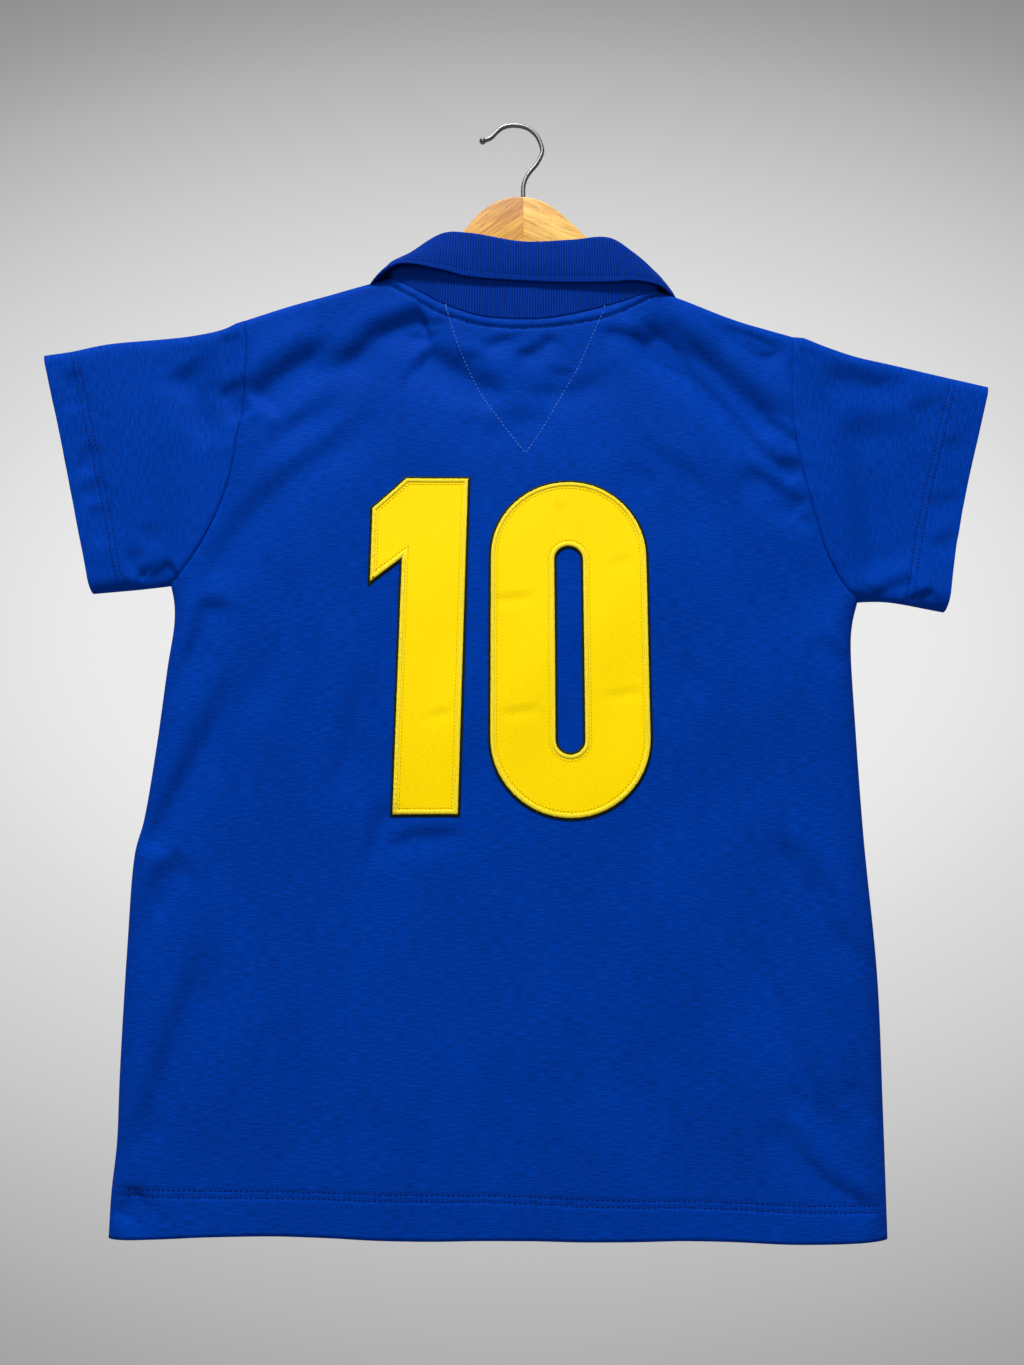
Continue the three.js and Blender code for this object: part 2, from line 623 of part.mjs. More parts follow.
// A wall of cloth between two grids of points, closed round its edges
function wallOf(outer, inner, wraps = false) {
  const rows = outer.length;
  const columns = outer[0].length;
  const vertices = [...outer.flat(), ...inner.flat()];
  const offset = rows * columns;
  const faces = [];
  const quad = (a, b, c, d) => faces.push([a, b, c], [a, c, d]);
  const at = (i, j) => i * columns + (j % columns);
  const last = wraps ? columns : columns - 1;
  for (let i = 0; i < rows - 1; i += 1) {
    for (let j = 0; j < last; j += 1) {
      const corners = [at(i, j), at(i, j + 1), at(i + 1, j + 1), at(i + 1, j)];
      quad(...corners);
      const [a, b, c, d] = corners.map((corner) => corner + offset);
      faces.push([a, c, b], [a, d, c]);
    }
  }
  const rim = (a, b) => quad(b, a, a + offset, b + offset);
  for (let j = 0; j < last; j += 1) {
    rim(at(0, j), at(0, j + 1));
    rim(at(rows - 1, j + 1), at(rows - 1, j));
  }
  for (let i = 0; i < rows - 1 && !wraps; i += 1) {
    rim(at(i + 1, 0), at(i, 0));
    rim(at(i, columns - 1), at(i + 1, columns - 1));
  }
  if (volumeOf(vertices, faces) < 0) faces.forEach((face) => face.reverse());
  return geometryOf(vertices, faces);
}

function named(name, geometry, color, roughness, metalness = 0) {
  const material = new THREE.MeshStandardMaterial({ color, roughness, metalness });
  const mesh = new THREE.Mesh(geometry, material);
  mesh.name = name;
  return mesh;
}

// Closed solids that are cut or joined
function solidOf(geometry) {
  const bare = geometry.clone();
  bare.deleteAttribute("normal");
  bare.deleteAttribute("uv");
  const merged = mergeVertices(bare, 1e-4);
  return new wasm.Manifold(
    new wasm.Mesh({
      numProp: 3,
      vertProperties: merged.attributes.position.array,
      triVerts: new Uint32Array(merged.index.array),
    }),
  );
}

function fromSolid(solid) {
  const { numProp, numVert, vertProperties, triVerts } = solid.getMesh();
  const position = new Float32Array(numVert * 3);
  for (let i = 0; i < numVert; i += 1) {
    position.set(vertProperties.subarray(i * numProp, i * numProp + 3), i * 3);
  }
  const geometry = new THREE.BufferGeometry();
  geometry.setAttribute("position", new THREE.BufferAttribute(position, 3));
  geometry.setIndex(new THREE.BufferAttribute(new Uint32Array(triVerts), 1));
  geometry.computeVertexNormals();
  return geometry;
}

// A flat outline in X and Z, made solid from y = near to y = far
function slab(shape, near, far, bevel = {}) {
  const thick = far - near;
  const inset = bevel.bevelThickness ?? 0;
  const geometry = new THREE.ExtrudeGeometry(shape, {
    depth: thick - 2 * inset,
    steps: 1,
    bevelEnabled: false,
    ...bevel,
  });
  geometry.translate(0, 0, inset - thick);
  geometry.rotateX(Math.PI / 2);
  geometry.translate(0, near, 0);
  return geometry;
}

function outlineShape(points) {
  return new THREE.Shape(points.map(({ x, z }) => new THREE.Vector2(x, z)));
}

// The body panels

// A boundary made of stretches of curves, each given its share of the way
function stretched(stretches) {
  return (at) => {
    let start = 0;
    for (const { curve, share, reverse } of stretches) {
      const part = (at - start) / share;
      if (part <= 1 + 1e-9) {
        const held = THREE.MathUtils.clamp(part, 0, 1);
        return curve.getPointAt(reverse ? 1 - held : held);
      }
      start += share;
    }
    return stretches[stretches.length - 1].curve.getPointAt(1);
  };
}

function stationsOf(stretches) {
  let start = 0;
  const stations = [0];
  for (const { at, share, reverse } of stretches) {
    const placed = reverse ? at.map((part) => 1 - part).reverse() : at;
    stations.push(...placed.slice(1).map((part) => start + part * share));
    start += share;
  }
  return stations;
}

const sideRows = stationsOf([
  { at: ARMHOLE_STATIONS, share: ARMHOLE_SHARE },
  { at: SIDE_STATIONS, share: 1 - ARMHOLE_SHARE },
]);
const leftEdge = stretched([
  { curve: leftArmhole, share: ARMHOLE_SHARE },
  { curve: leftSide, share: 1 - ARMHOLE_SHARE },
]);
const rightEdge = stretched([
  { curve: rightArmhole, share: ARMHOLE_SHARE },
  { curve: rightSide, share: 1 - ARMHOLE_SHARE },
]);

const NECK_SHARE = 1 - 2 * SHOULDER_SHARE;
const backTop = stretched([
  { curve: leftShoulder, share: SHOULDER_SHARE },
  { curve: backNeck, share: NECK_SHARE },
  { curve: rightShoulder, share: SHOULDER_SHARE },
]);
const frontTop = stretched([
  { curve: leftShoulder, share: SHOULDER_SHARE },
  { curve: frontNeckLeft, share: NECK_SHARE / 2, reverse: true },
  { curve: frontNeckRight, share: NECK_SHARE / 2, reverse: true },
  { curve: rightShoulder, share: SHOULDER_SHARE },
]);
const backColumns = stationsOf([
  { at: SHOULDER_STATIONS, share: SHOULDER_SHARE },
  { at: BACK_NECK_STATIONS, share: NECK_SHARE },
  { at: SHOULDER_STATIONS, share: SHOULDER_SHARE, reverse: true },
]);
const frontColumns = stationsOf([
  { at: SHOULDER_STATIONS, share: SHOULDER_SHARE },
  { at: FRONT_NECK_STATIONS, share: NECK_SHARE / 2 },
  { at: FRONT_NECK_STATIONS, share: NECK_SHARE / 2, reverse: true },
  { at: SHOULDER_STATIONS, share: SHOULDER_SHARE, reverse: true },
]);

function panelPlan(top, hem, columns) {
  const bottom = curveOf(hem);
  const along = (u) => bottom.getPointAt(u);
  return spreadPoints(top, along, leftEdge, rightEdge, columns, sideRows);
}

// The two grids of a panel, with its armhole and neck edges squared
function panelGrids(plan, face) {
  const outer = onFace(plan, face, 0);
  const inner = onFace(plan, face, -CLOTH);
  const armholeRows = ARMHOLE_STATIONS.length;
  for (const side of [0, plan[0].length - 1]) {
    const lineOf = (grid) => grid.slice(0, armholeRows).map((row) => row[side]);
    squareEdge(lineOf(outer), lineOf(inner));
  }
  const neckStart = SHOULDER_STATIONS.length - 1;
  const neckEnd = plan[0].length - neckStart;
  squareEdge(outer[0].slice(neckStart, neckEnd), inner[0].slice(neckStart, neckEnd));
  return { outer, inner };
}

const backGrids = panelGrids(panelPlan(backTop, BACK_HEM, backColumns), BACK);
const frontGrids = panelGrids(panelPlan(frontTop, FRONT_HEM, frontColumns), FRONT);
const back = wallOf(backGrids.outer, backGrids.inner);
const front = wallOf(frontGrids.outer, frontGrids.inner);

// The sleeves: a flattened tube, set a seam's gap away from the armhole
function sleeve(armhole, top, underarm, cuffRows) {
  const cuff = curveOf(cuffRows);
  const topWay = top.getTangentAt(0);
  const lowerWay = underarm.getTangentAt(0);
  const setArmhole = (v) => {
    const way = topWay.clone().lerp(lowerWay, v).normalize();
    return armhole.getPointAt(v).addScaledVector(way, SLEEVE_SETTING);
  };
  const from = (curve) => (at) => {
    const start = SLEEVE_SETTING / curve.getLength();
    return curve.getPointAt(THREE.MathUtils.lerp(start, 1, at));
  };
  const plan = spreadPoints(
    setArmhole,
    (v) => cuff.getPointAt(v),
    from(top),
    from(underarm),
    ARMHOLE_STATIONS,
    SLEEVE_STATIONS,
  );
  const layers = [BACK, FRONT].map((face) => {
    const outer = onFace(plan, face, 0);
    const inner = onFace(plan, face, -CLOTH);
    squareEdge(outer[0], inner[0]);
    return { outer, inner };
  });
  const ring = (wall) =>
    layers[0][wall].map((row, i) => [...row, ...layers[1][wall][i].toReversed()]);
  return wallOf(ring("outer"), ring("inner"), true);
}
const sleeveLeft = sleeve(leftArmhole, leftSleeveTop, leftUnderarm, LEFT_CUFF);
const sleeveRight = sleeve(rightArmhole, rightSleeveTop, rightUnderarm, RIGHT_CUFF);

// The collar: a strip of rib that stands up from the neck seam and folds over
function neckSeam(k) {
  if (k < 1) return { at: frontNeckLeft.getPointAt(k), face: FRONT };
  if (k <= 2) return { at: backNeck.getPointAt(k - 1), face: BACK };
  return { at: frontNeckRight.getPointAt(k - 2), face: FRONT };
}

function collarSections() {
  const stands = COLLAR.map(({ fx, fy, fz }) => new THREE.Vector3(fx, fy, fz));
  const falls = COLLAR.map(({ ex, ey, ez }) => new THREE.Vector3(ex, ey, ez));
  const standLine = new THREE.CatmullRomCurve3(stands, false, "centripetal");
  const fallLine = new THREE.CatmullRomCurve3(falls, false, "centripetal");
  const last = COLLAR.length - 1;
  return evenly(0, last, last * COLLAR_STEPS).map((place) => {
    const row = Math.min(Math.floor(place), last - 1);
    const share = place - row;
    const mix = (column) =>
      THREE.MathUtils.lerp(COLLAR[row][column], COLLAR[row + 1][column], share);
    const { at, face } = neckSeam(mix("k"));
    const turn = THREE.MathUtils.degToRad(mix("facing"));
    const out = new THREE.Vector3(Math.cos(turn), Math.sin(turn), 0);
    const sewn = clothPoint(at.x, at.z, face, -CLOTH / 2);
    const stand = standLine.getPoint(place / last);
    const fall = fallLine.getPoint(place / last);
    const up = stand.clone().sub(sewn).normalize();
    const foot = sewn.addScaledVector(up, mix("lift"));
    const bend = evenly(0, Math.PI, 3).map((angle) =>
      stand
        .clone()
        .addScaledVector(up, COLLAR_BEND * Math.sin(angle))
        .addScaledVector(out, COLLAR_BEND * (1 - Math.cos(angle))),
    );
    const over = bend[bend.length - 1];
    return [
      foot,
      foot.clone().lerp(stand, 1 / 3),
      foot.clone().lerp(stand, 2 / 3),
      ...bend,
      over.clone().lerp(fall, 0.5),
      fall,
    ];
  });
}

function normalsOf(grid) {
  const rows = grid.length;
  const columns = grid[0].length;
  return grid.map((row, i) =>
    row.map((_, j) => {
      const up = grid[Math.min(i + 1, rows - 1)][j].clone().sub(grid[Math.max(i - 1, 0)][j]);
      const along = row[Math.min(j + 1, columns - 1)].clone().sub(row[Math.max(j - 1, 0)]);
      return up.cross(along).normalize();
    }),
  );
}

function collar() {
  const middle = collarSections();
  const normals = normalsOf(middle);
  const moved = (by) =>
    middle.map((row, i) => row.map((p, j) => p.clone().addScaledVector(normals[i][j], by)));
  return wallOf(moved(RIB_CLOTH / 2), moved(-RIB_CLOTH / 2));
}

// The numerals: pieces of the back's own surface, moved out and cut to shape
const liftedOff = (by) =>
  backGrids.outer.map((row) => row.map(({ x, y, z }) => new THREE.Vector3(x, y - by, z)));
const numberSheet = solidOf(wallOf(liftedOff(NUMBER_LIFT + NUMBER_CLOTH), liftedOff(NUMBER_LIFT)));

function numeral(shape) {
  const prism = solidOf(slab(shape, -NUMBER_REACH, 0));
  return fromSolid(prism.intersect(numberSheet));
}

// A ring with straight sides and half-round ends
function stadium(x, wide, top, bottom) {
  const radius = wide / 2;
  const arc = (centre, from) =>
    evenly(from, from + Math.PI, ARC_STEPS).map((angle) => ({
      x: x + radius * Math.cos(angle),
      z: centre + radius * Math.sin(angle),
    }));
  return [...arc(top - radius, 0), ...arc(bottom + radius, Math.PI)];
}

function zeroShape() {
  const shape = outlineShape(stadium(ZERO.x, ZERO.wide, ZERO.top, ZERO.bottom));
  const hole = stadium(ZERO.x, ZERO.holeWide, ZERO.holeTop, ZERO.holeBottom);
  shape.holes.push(new THREE.Path(hole.map(({ x, z }) => new THREE.Vector2(x, z))));
  return shape;
}

// The hanger: one arched outline with rounded edges, sawn at the mitre and drilled for the wire
function hangerHalves() {
  const lower = curveOf(HANGER_BOTTOM).getSpacedPoints(HANGER_SAMPLES / 2);
  const outline = outlineShape([...hangerTop.getSpacedPoints(HANGER_SAMPLES), ...lower]);
  const whole = solidOf(
    slab(outline, -HANGER_THICK / 2, HANGER_THICK / 2, {
      bevelEnabled: true,
      bevelSize: HANGER_BEVEL.size,
      bevelOffset: -HANGER_BEVEL.size,
      bevelThickness: HANGER_BEVEL.thick,
      bevelSegments: HANGER_BEVEL.segments,
    }),
  );
  const { long, sides } = DRILL;
  const drill = new THREE.CylinderGeometry(WIRE_HOLE_RADIUS, WIRE_HOLE_RADIUS, long, sides);
  drill.rotateX(Math.PI / 2);
  drill.translate(MITRE_X, 0, WIRE_HOLE_BOTTOM + long / 2);
  const drilled = whole.subtract(solidOf(drill));
  const half = (side) => {
    const box = new THREE.BoxGeometry(HALF_BOX.wide, HALF_BOX.deep, HALF_BOX.tall);
    box.translate(MITRE_X + (side * (HALF_BOX.wide + SEAM_GAP)) / 2, 0, HALF_BOX.middle);
    return fromSolid(drilled.intersect(solidOf(box)));
  };
  return { left: half(-1), right: half(1) };
}

// The hook: round wire bent over the rail, with a small ball at its tip
function hook() {
  const path = curveOf(WIRE);
  const around = evenly(0, 2 * Math.PI, WIRE_SIDES).slice(0, WIRE_SIDES);
  const corners = around.map((angle) => ({
    x: WIRE_RADIUS * Math.cos(angle),
    z: WIRE_RADIUS * Math.sin(angle),
  }));
  const section = outlineShape(corners);
  const wire = new THREE.ExtrudeGeometry(section, { steps: WIRE_STEPS, extrudePath: path });
  const ball = new THREE.SphereGeometry(WIRE_BALL_RADIUS, BALL_SIDES.round, BALL_SIDES.up);
  ball.translate(WIRE[0].x, 0, WIRE[0].z);
  return fromSolid(solidOf(wire).add(solidOf(ball)));
}

const hanger = hangerHalves();

const jersey = new THREE.Group();
jersey.add(
  named("back", back, BLUE, CLOTH_ROUGHNESS),
  named("front", front, BLUE, CLOTH_ROUGHNESS),
  named("sleeve_left", sleeveLeft, BLUE, CLOTH_ROUGHNESS),
  named("sleeve_right", sleeveRight, BLUE, CLOTH_ROUGHNESS),
  named("collar", collar(), RIB_BLUE, RIB_ROUGHNESS),
  named("digit_one", numeral(outlineShape(ONE)), YELLOW, NUMBER_ROUGHNESS),
  named("digit_zero", numeral(zeroShape()), YELLOW, NUMBER_ROUGHNESS),
);

const carrier = new THREE.Group();
carrier.add(
  named("hanger_left", hanger.left, WOOD, WOOD_ROUGHNESS),
  named("hanger_right", hanger.right, WOOD, WOOD_ROUGHNESS),
  named("hook", hook(), STEEL, STEEL_ROUGHNESS, 1),
);

const part = new THREE.Group();
part.add(jersey, carrier);

export default part;
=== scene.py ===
import math

import bmesh
import bpy
import numpy as np
from mathutils import Matrix, Vector


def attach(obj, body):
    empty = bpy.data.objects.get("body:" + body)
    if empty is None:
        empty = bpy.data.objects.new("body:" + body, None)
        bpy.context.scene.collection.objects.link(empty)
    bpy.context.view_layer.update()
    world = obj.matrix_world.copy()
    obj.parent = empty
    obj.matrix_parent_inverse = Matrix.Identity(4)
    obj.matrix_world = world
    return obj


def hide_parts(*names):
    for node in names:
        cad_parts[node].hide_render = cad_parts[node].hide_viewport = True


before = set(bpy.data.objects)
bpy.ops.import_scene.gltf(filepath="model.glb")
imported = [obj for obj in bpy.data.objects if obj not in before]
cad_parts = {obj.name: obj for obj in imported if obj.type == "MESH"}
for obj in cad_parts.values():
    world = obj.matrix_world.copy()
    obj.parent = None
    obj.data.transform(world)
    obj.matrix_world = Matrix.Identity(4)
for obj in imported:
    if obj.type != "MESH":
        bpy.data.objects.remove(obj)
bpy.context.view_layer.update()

# The camera stands behind the jersey, a little below its middle, and looks slightly up at it.
lens = bpy.data.cameras.new("camera")
lens.lens = 27.03
lens.sensor_width = 36.0
camera = bpy.data.objects.new("camera", lens)
camera.location = (-0.001313, -0.796744, -0.637148)
camera.rotation_euler = (math.radians(100.219), 0, 0)
bpy.context.scene.collection.objects.link(camera)
bpy.context.scene.camera = camera
bpy.context.scene.view_settings.view_transform = "Standard"

# The stage: one pale sweep of paper, floor below and wall far behind, that glows by itself with
# painted light, brightest in its middle and darker outwards, and soft light from above, stronger on
# the left.
FLOOR_Z = -2.6
WALL_Y = 3.3
SWEEP_RADIUS = 0.8
SWEEP_HALF_LENGTH = 9.0
STAGE_HALF = 7.0
PAPER_GLOW_MIDDLE = (0, 0, 0.35)
PAPER_GLOW_OVAL = (0.62, 0, 1)
# Distance from the middle of the paper's painted glow, in metres, and how bright it glows there
PAPER_GLOW = (
    (0.0, 0.89), (1.1, 0.805), (1.5, 0.72), (2.13, 0.558), (2.55, 0.457), (2.9, 0.347),
    (3.3, 0.258), (3.6, 0.22),
)


def fed(made, *first, **values):
    """Gives a node its settings, and its sockets a plain value or what another node puts out."""
    for key, value in (*enumerate(first), *values.items()):
        if isinstance(key, str) and hasattr(made, key):
            setattr(made, key, value)
            continue
        socket = made.inputs[key.replace("_", " ") if isinstance(key, str) else key]
        if isinstance(value, bpy.types.NodeSocket):
            made.id_data.links.new(value, socket)
        else:
            socket.default_value = value
    return made


def node(tree, kind, *first, **values):
    """A new node, fed as above: the sockets in their order first, the others by name."""
    return fed(tree.nodes.new(kind), *first, **values)


def surface(name, **values):
    """A material with one Principled shader."""
    made = bpy.data.materials.new(name)
    made.use_nodes = True
    return made, made.node_tree, fed(made.node_tree.nodes["Principled BSDF"], **values)


def smooth_object(build, name):
    """An object of its own from a finished mesh."""
    data = bpy.data.meshes.new(name)
    build.to_mesh(data)
    build.free()
    data.shade_smooth()
    return bpy.data.objects.new(name, data)


def sweep_profile(turn):
    """The paper's line from the floor's front edge, round the bend and up the wall."""
    floor = STAGE_HALF + WALL_Y - SWEEP_RADIUS
    bend = SWEEP_RADIUS * math.pi / 2
    if turn < floor:
        return turn - STAGE_HALF, FLOOR_Z
    if turn < floor + bend:
        angle = (turn - floor) / SWEEP_RADIUS
        return (WALL_Y - SWEEP_RADIUS * (1 - math.sin(angle)),
                FLOOR_Z + SWEEP_RADIUS * (1 - math.cos(angle)))
    return WALL_Y, FLOOR_Z + SWEEP_RADIUS + turn - floor - bend


sheet_mesh = bmesh.new()
bmesh.ops.create_grid(sheet_mesh, x_segments=8, y_segments=160, size=1.0)
for corner in sheet_mesh.verts:
    y, z = sweep_profile((corner.co.y + 1) * SWEEP_HALF_LENGTH)
    corner.co = (corner.co.x * STAGE_HALF, y, z)
bmesh.ops.reverse_faces(sheet_mesh, faces=[f for f in sheet_mesh.faces if f.normal.y > 0.5])
sweep = smooth_object(sheet_mesh, "paper_sweep")
bpy.context.scene.collection.objects.link(sweep)
# The paper is no lamp, yet its material glows: painted light, brightest in the middle
paper, tree, shader = surface("glowing_paper", Base_Color=(0.02, 0.02, 0.02, 1), Roughness=1.0,
                              Specular_IOR_Level=0.0, Emission_Strength=1.0)
where = node(tree, "ShaderNodeTexCoord").outputs["Object"]
off_centre = node(tree, "ShaderNodeVectorMath", where, PAPER_GLOW_MIDDLE, operation="SUBTRACT")
oval = node(tree, "ShaderNodeVectorMath", off_centre.outputs[0], PAPER_GLOW_OVAL, operation="MULTIPLY")
off_by = node(tree, "ShaderNodeVectorMath", oval.outputs[0], operation="LENGTH")
reach = node(tree, "ShaderNodeMapRange", off_by.outputs["Value"], From_Max=PAPER_GLOW[-1][0])
shade = node(tree, "ShaderNodeValToRGB", reach.outputs[0])
shade.color_ramp.interpolation = "B_SPLINE"
for far, grey in PAPER_GLOW:
    share = far / PAPER_GLOW[-1][0]
    stop = shade.color_ramp.elements[-round(share)] if share in (0, 1) else \
        shade.color_ramp.elements.new(share)
    stop.color = (grey, grey, grey, 1)
fed(shader, Emission_Color=shade.outputs[0])
sweep.data.materials.append(paper)

world = bpy.data.worlds.new("room")
world.use_nodes = True
fed(world.node_tree.nodes["Background"], Color=(0.9, 0.93, 1.0, 1), Strength=0.31)
bpy.context.scene.world = world

LAMPS_AIM = (0, 0, -0.45)
# name, place, width, depth, power
LAMPS = (
    ("key_lamp", (-0.3, -1.85, 3.0), 0.9, 0.5, 205.0),
    ("front_lamp", (-0.9, -3.2, -0.6), 2.4, 2.0, 14.0),
    ("back_lamp", (0.3, 1.6, 1.6), 1.8, 1.0, 9.0),
)
for name, place, wide, deep, power in LAMPS:
    lamp_data = bpy.data.lights.new(name, "AREA")
    lamp_data.shape = "RECTANGLE"
    lamp_data.size = wide
    lamp_data.size_y = deep
    lamp_data.energy = power
    lamp = bpy.data.objects.new(name, lamp_data)
    lamp.location = place
    towards = Vector(LAMPS_AIM) - Vector(place)
    lamp.rotation_euler = towards.to_track_quat("-Z", "Y").to_euler()
    lamp.visible_camera = False
    bpy.context.scene.collection.objects.link(lamp)

# The back panel: one piece of plain polyester knit, sewn to the front at the shoulders and sides.
# It hangs on the wooden shoulders and is pulled into folds there; the number lies on it.
MM = 0.001
BACK, FRONT = -1, 1
CLOTH = 0.9
SEAM_GAP = 0.06
HANGER_CLEARANCE = 2.0
LEAST_DEPTH = 1.4
LEAST_OVER_HANGER = 7.5
# Where the body goes over into the sleeves, outwards and upwards, and where the hanger's hold fades
ARM_ACROSS = (200, 262)
ARM_UP = (-470, -400)
BOARD_EDGE = (-9, -2)
BOARD_END = 235
# How deep a row of stitches dents the hem and a cuff, and half the width of such a dent
HEM_DENT, CUFF_DENT = 0.32, 0.42
ROW_WIDE = 1.2
# The dent of a seam: deep at its start and at its end, wide, and how high and far off it puffs
ARMHOLE_DENT = (0.5, 1.4, 1.7, 0.2, 4.5)
NECK_DENT = (1.1, 1.1, 1.3, 0.8, 4.2)
SIDE_DENT = (0.9, 0.9, 1.2, 0, 0)
PUFF_WIDE = 3.2
# A fold: how far its flank's foot tails off, and how high, far off and wide the ridge beside it is
FOLD_TAIL = 2.2
RIDGE_HIGH, RIDGE_OFF, RIDGE_WIDE = 0.28, 1.8, 1.2

# Outlines as seen from behind, in millimetres: x, z
LEFT_SHOULDER = (
    (-224.6, -184.3), (-189, -171.8), (-155.5, -161.6), (-121.9, -151.4), (-102, -145.3),
)
RIGHT_SHOULDER = (
    (121, -157.5), (139.6, -164.8), (190.9, -186.3), (212.5, -193.2), (233.2, -199.4),
)
BACK_NECK = (
    (-102, -145.3), (-97.5, -151), (-78, -162.5), (-55.9, -173.9), (-28.6, -183.7), (13.7, -187.2),
    (43.7, -183.5), (82.2, -173.4), (104, -166.5), (116.5, -162), (121, -157.5),
)
LEFT_ARMHOLE = (
    (-224.6, -184.3), (-221.6, -204), (-221.3, -228.3), (-221.9, -253.3), (-224.2, -278),
    (-231.4, -332.2), (-248.3, -377.9), (-266, -406.5), (-275.1, -414.7),
)
RIGHT_ARMHOLE = (
    (233.2, -199.4), (230.6, -218), (229.8, -238), (228.8, -278), (234.5, -323), (244.4, -368.9),
    (250.2, -390.5), (265, -419.3), (275.1, -428.4),
)
LEFT_SIDE = (
    (-275.1, -414.7), (-271.6, -428), (-270.3, -446), (-273.6, -482), (-278.4, -544),
    (-284.8, -603), (-289.8, -625), (-291.2, -696), (-290.8, -786), (-289.6, -835), (-291.3, -868),
    (-291.3, -898.7),
)
RIGHT_SIDE = (
    (275.1, -428.4), (270.1, -445), (267.6, -462), (267.4, -534), (268.6, -613), (272.6, -718),
    (270.9, -810), (268.6, -899.5),
)
BACK_HEM = (
    (-291.3, -898.7), (-224.6, -895.7), (-165.7, -895.7), (-67.5, -898.4), (98, -898.7),
    (200, -900), (268.6, -899.5),
)
LEFT_SLEEVE_TOP = (
    (-224.6, -184.3), (-233, -187.2), (-243, -192.3), (-271.4, -198.6), (-340.2, -206),
    (-370.6, -212.6), (-391.8, -215.9),
)
RIGHT_SLEEVE_TOP = (
    (233.2, -199.4), (243.2, -200.8), (259.2, -207.4), (284.2, -216.9), (316.3, -224.6),
    (393.6, -244.1),
)
LEFT_UNDERARM = ((-275.1, -414.7), (-290.6, -416.7), (-337.3, -421.2))
RIGHT_UNDERARM = ((275.1, -428.4), (285.6, -427.8), (302.9, -428.6), (344, -436.4))
LEFT_CUFF = ((-391.8, -215.9), (-381.6, -252.8), (-360.6, -330.6), (-337.3, -421.2))
RIGHT_CUFF = ((393.6, -244.1), (380.8, -289.2), (361.5, -358), (344, -436.4))
HANGER_ARCH = (
    (-99.5, -148.6), (-84, -139), (-62, -121.5), (-42.9, -102.8), (-28.7, -85.6), (-13.9, -74.7),
    (3, -70.6), (20.8, -73.3), (35.6, -82.3), (49.3, -95.3), (68, -115.5), (92, -142),
    (118.5, -160.6),
)
HANGER_LOWER = (
    (226, -211), (205, -215), (150, -197.5), (92, -171), (45, -137), (8.3, -122), (-28, -130),
    (-75, -158), (-130, -182), (-197, -203.5), (-219, -196),
)
# How far the cloth stands off the middle plane and how wide its edge is rounded: z, deep, round
BODY_FORM = (
    (-140, 9.2, 10), (-225, 9.4, 11), (-330, 13, 18), (-450, 14, 26), (-700, 12.5, 26),
    (-910, 10.5, 24),
)
# The same along a sleeve: distance from the middle, deep, round
SLEEVE_FORM = ((235, 9.2, 13), (300, 8.2, 13), (395, 7, 12))

# Folds: how deep each sinks, how wide its steep flank is, the side of its line that sinks (1 below,
# -1 above), the shares of its length over which it deepens and dies away, and its line of x, z
BACK_FOLDS = (
    (6.0, 6.2, 1, 0.06, 0.25, (-73, -180), (-97, -188), (-116, -197), (-132, -214), (-164, -234)),
    (7.0, 7.8, 1, 0.35, 0.14, (-146, -197), (-176, -217), (-198, -234), (-222, -257)),
    (3.4, 7.0, 1, 0.3, 0.2, (-100, -248), (-141, -290), (-193, -332), (-237, -388), (-245, -428)),
    (5.6, 7.2, 1, 0.1, 0.3, (-72, -208), (-48, -226), (-25, -240), (4, -256)),
    (2.3, 3.8, 1, 0.2, 0.35, (68, -197), (85, -197), (111, -205), (125, -222), (162, -267)),
    (7.6, 8.0, 1, 0.2, 0.14, (114, -177), (139, -203), (168, -225), (190, -249), (229, -287)),
    (3.4, 6.0, 1, 0.4, 0.2, (156, -187), (196, -202), (228, -219)),
    (3.6, 4.0, 1, 0.2, 0.14, (107, -187), (139, -222), (178, -267), (211, -311), (238, -328)),
    (4.4, 4.8, 1, 0.3, 0.14, (185, -312), (210, -332), (238, -352)),
    (5.0, 5.2, 1, 0.12, 0.5, (-244, -424), (-251, -455), (-260, -483), (-267, -519)),
    (4.8, 5.8, 1, 0.5, 0.12, (-211, -466), (-227, -501), (-246, -546), (-275, -604), (-284, -626)),
    (4.4, 6.0, 1, 0.2, 0.5, (-250, -622), (-268, -643), (-278, -676), (-280, -745)),
    (4.2, 6.0, 1, 0.4, 0.2, (-226, -680), (-240, -714), (-248, -745), (-268, -807), (-281, -853)),
    (2.8, 5.0, 1, 0.3, 0.16, (195, -600), (213, -633), (228, -656), (260, -714)),
    (2.6, 4.6, 1, 0.3, 0.3, (174, -677), (190, -711), (211, -769), (231, -813), (245, -834)),
    (2.5, 4.2, 1, 0.2, 0.1, (193, -812), (206, -836), (221, -852), (263, -879)),
    (5.4, 8.0, -1, 0.2, 0.35, (-288, -234), (-272, -256), (-264, -278), (-256, -306)),
    (4.2, 5.2, -1, 0.3, 0.2, (-245, -246), (-237, -262), (-229, -280)),
    (3.4, 4.2, 1, 0.1, 0.12, (-301, -407), (-287, -404), (-273, -396)),
    (3.8, 7.5, 1, 0.3, 0.4, (252, -229), (290, -238), (334, -240)),
    (7.0, 13.0, -1, 0.25, 0.2, (272, -262), (274, -305), (280, -360), (286, -428)),
    (4.0, 4.8, 1, 0.1, 0.2, (286, -426), (303, -414), (322, -410)),
)
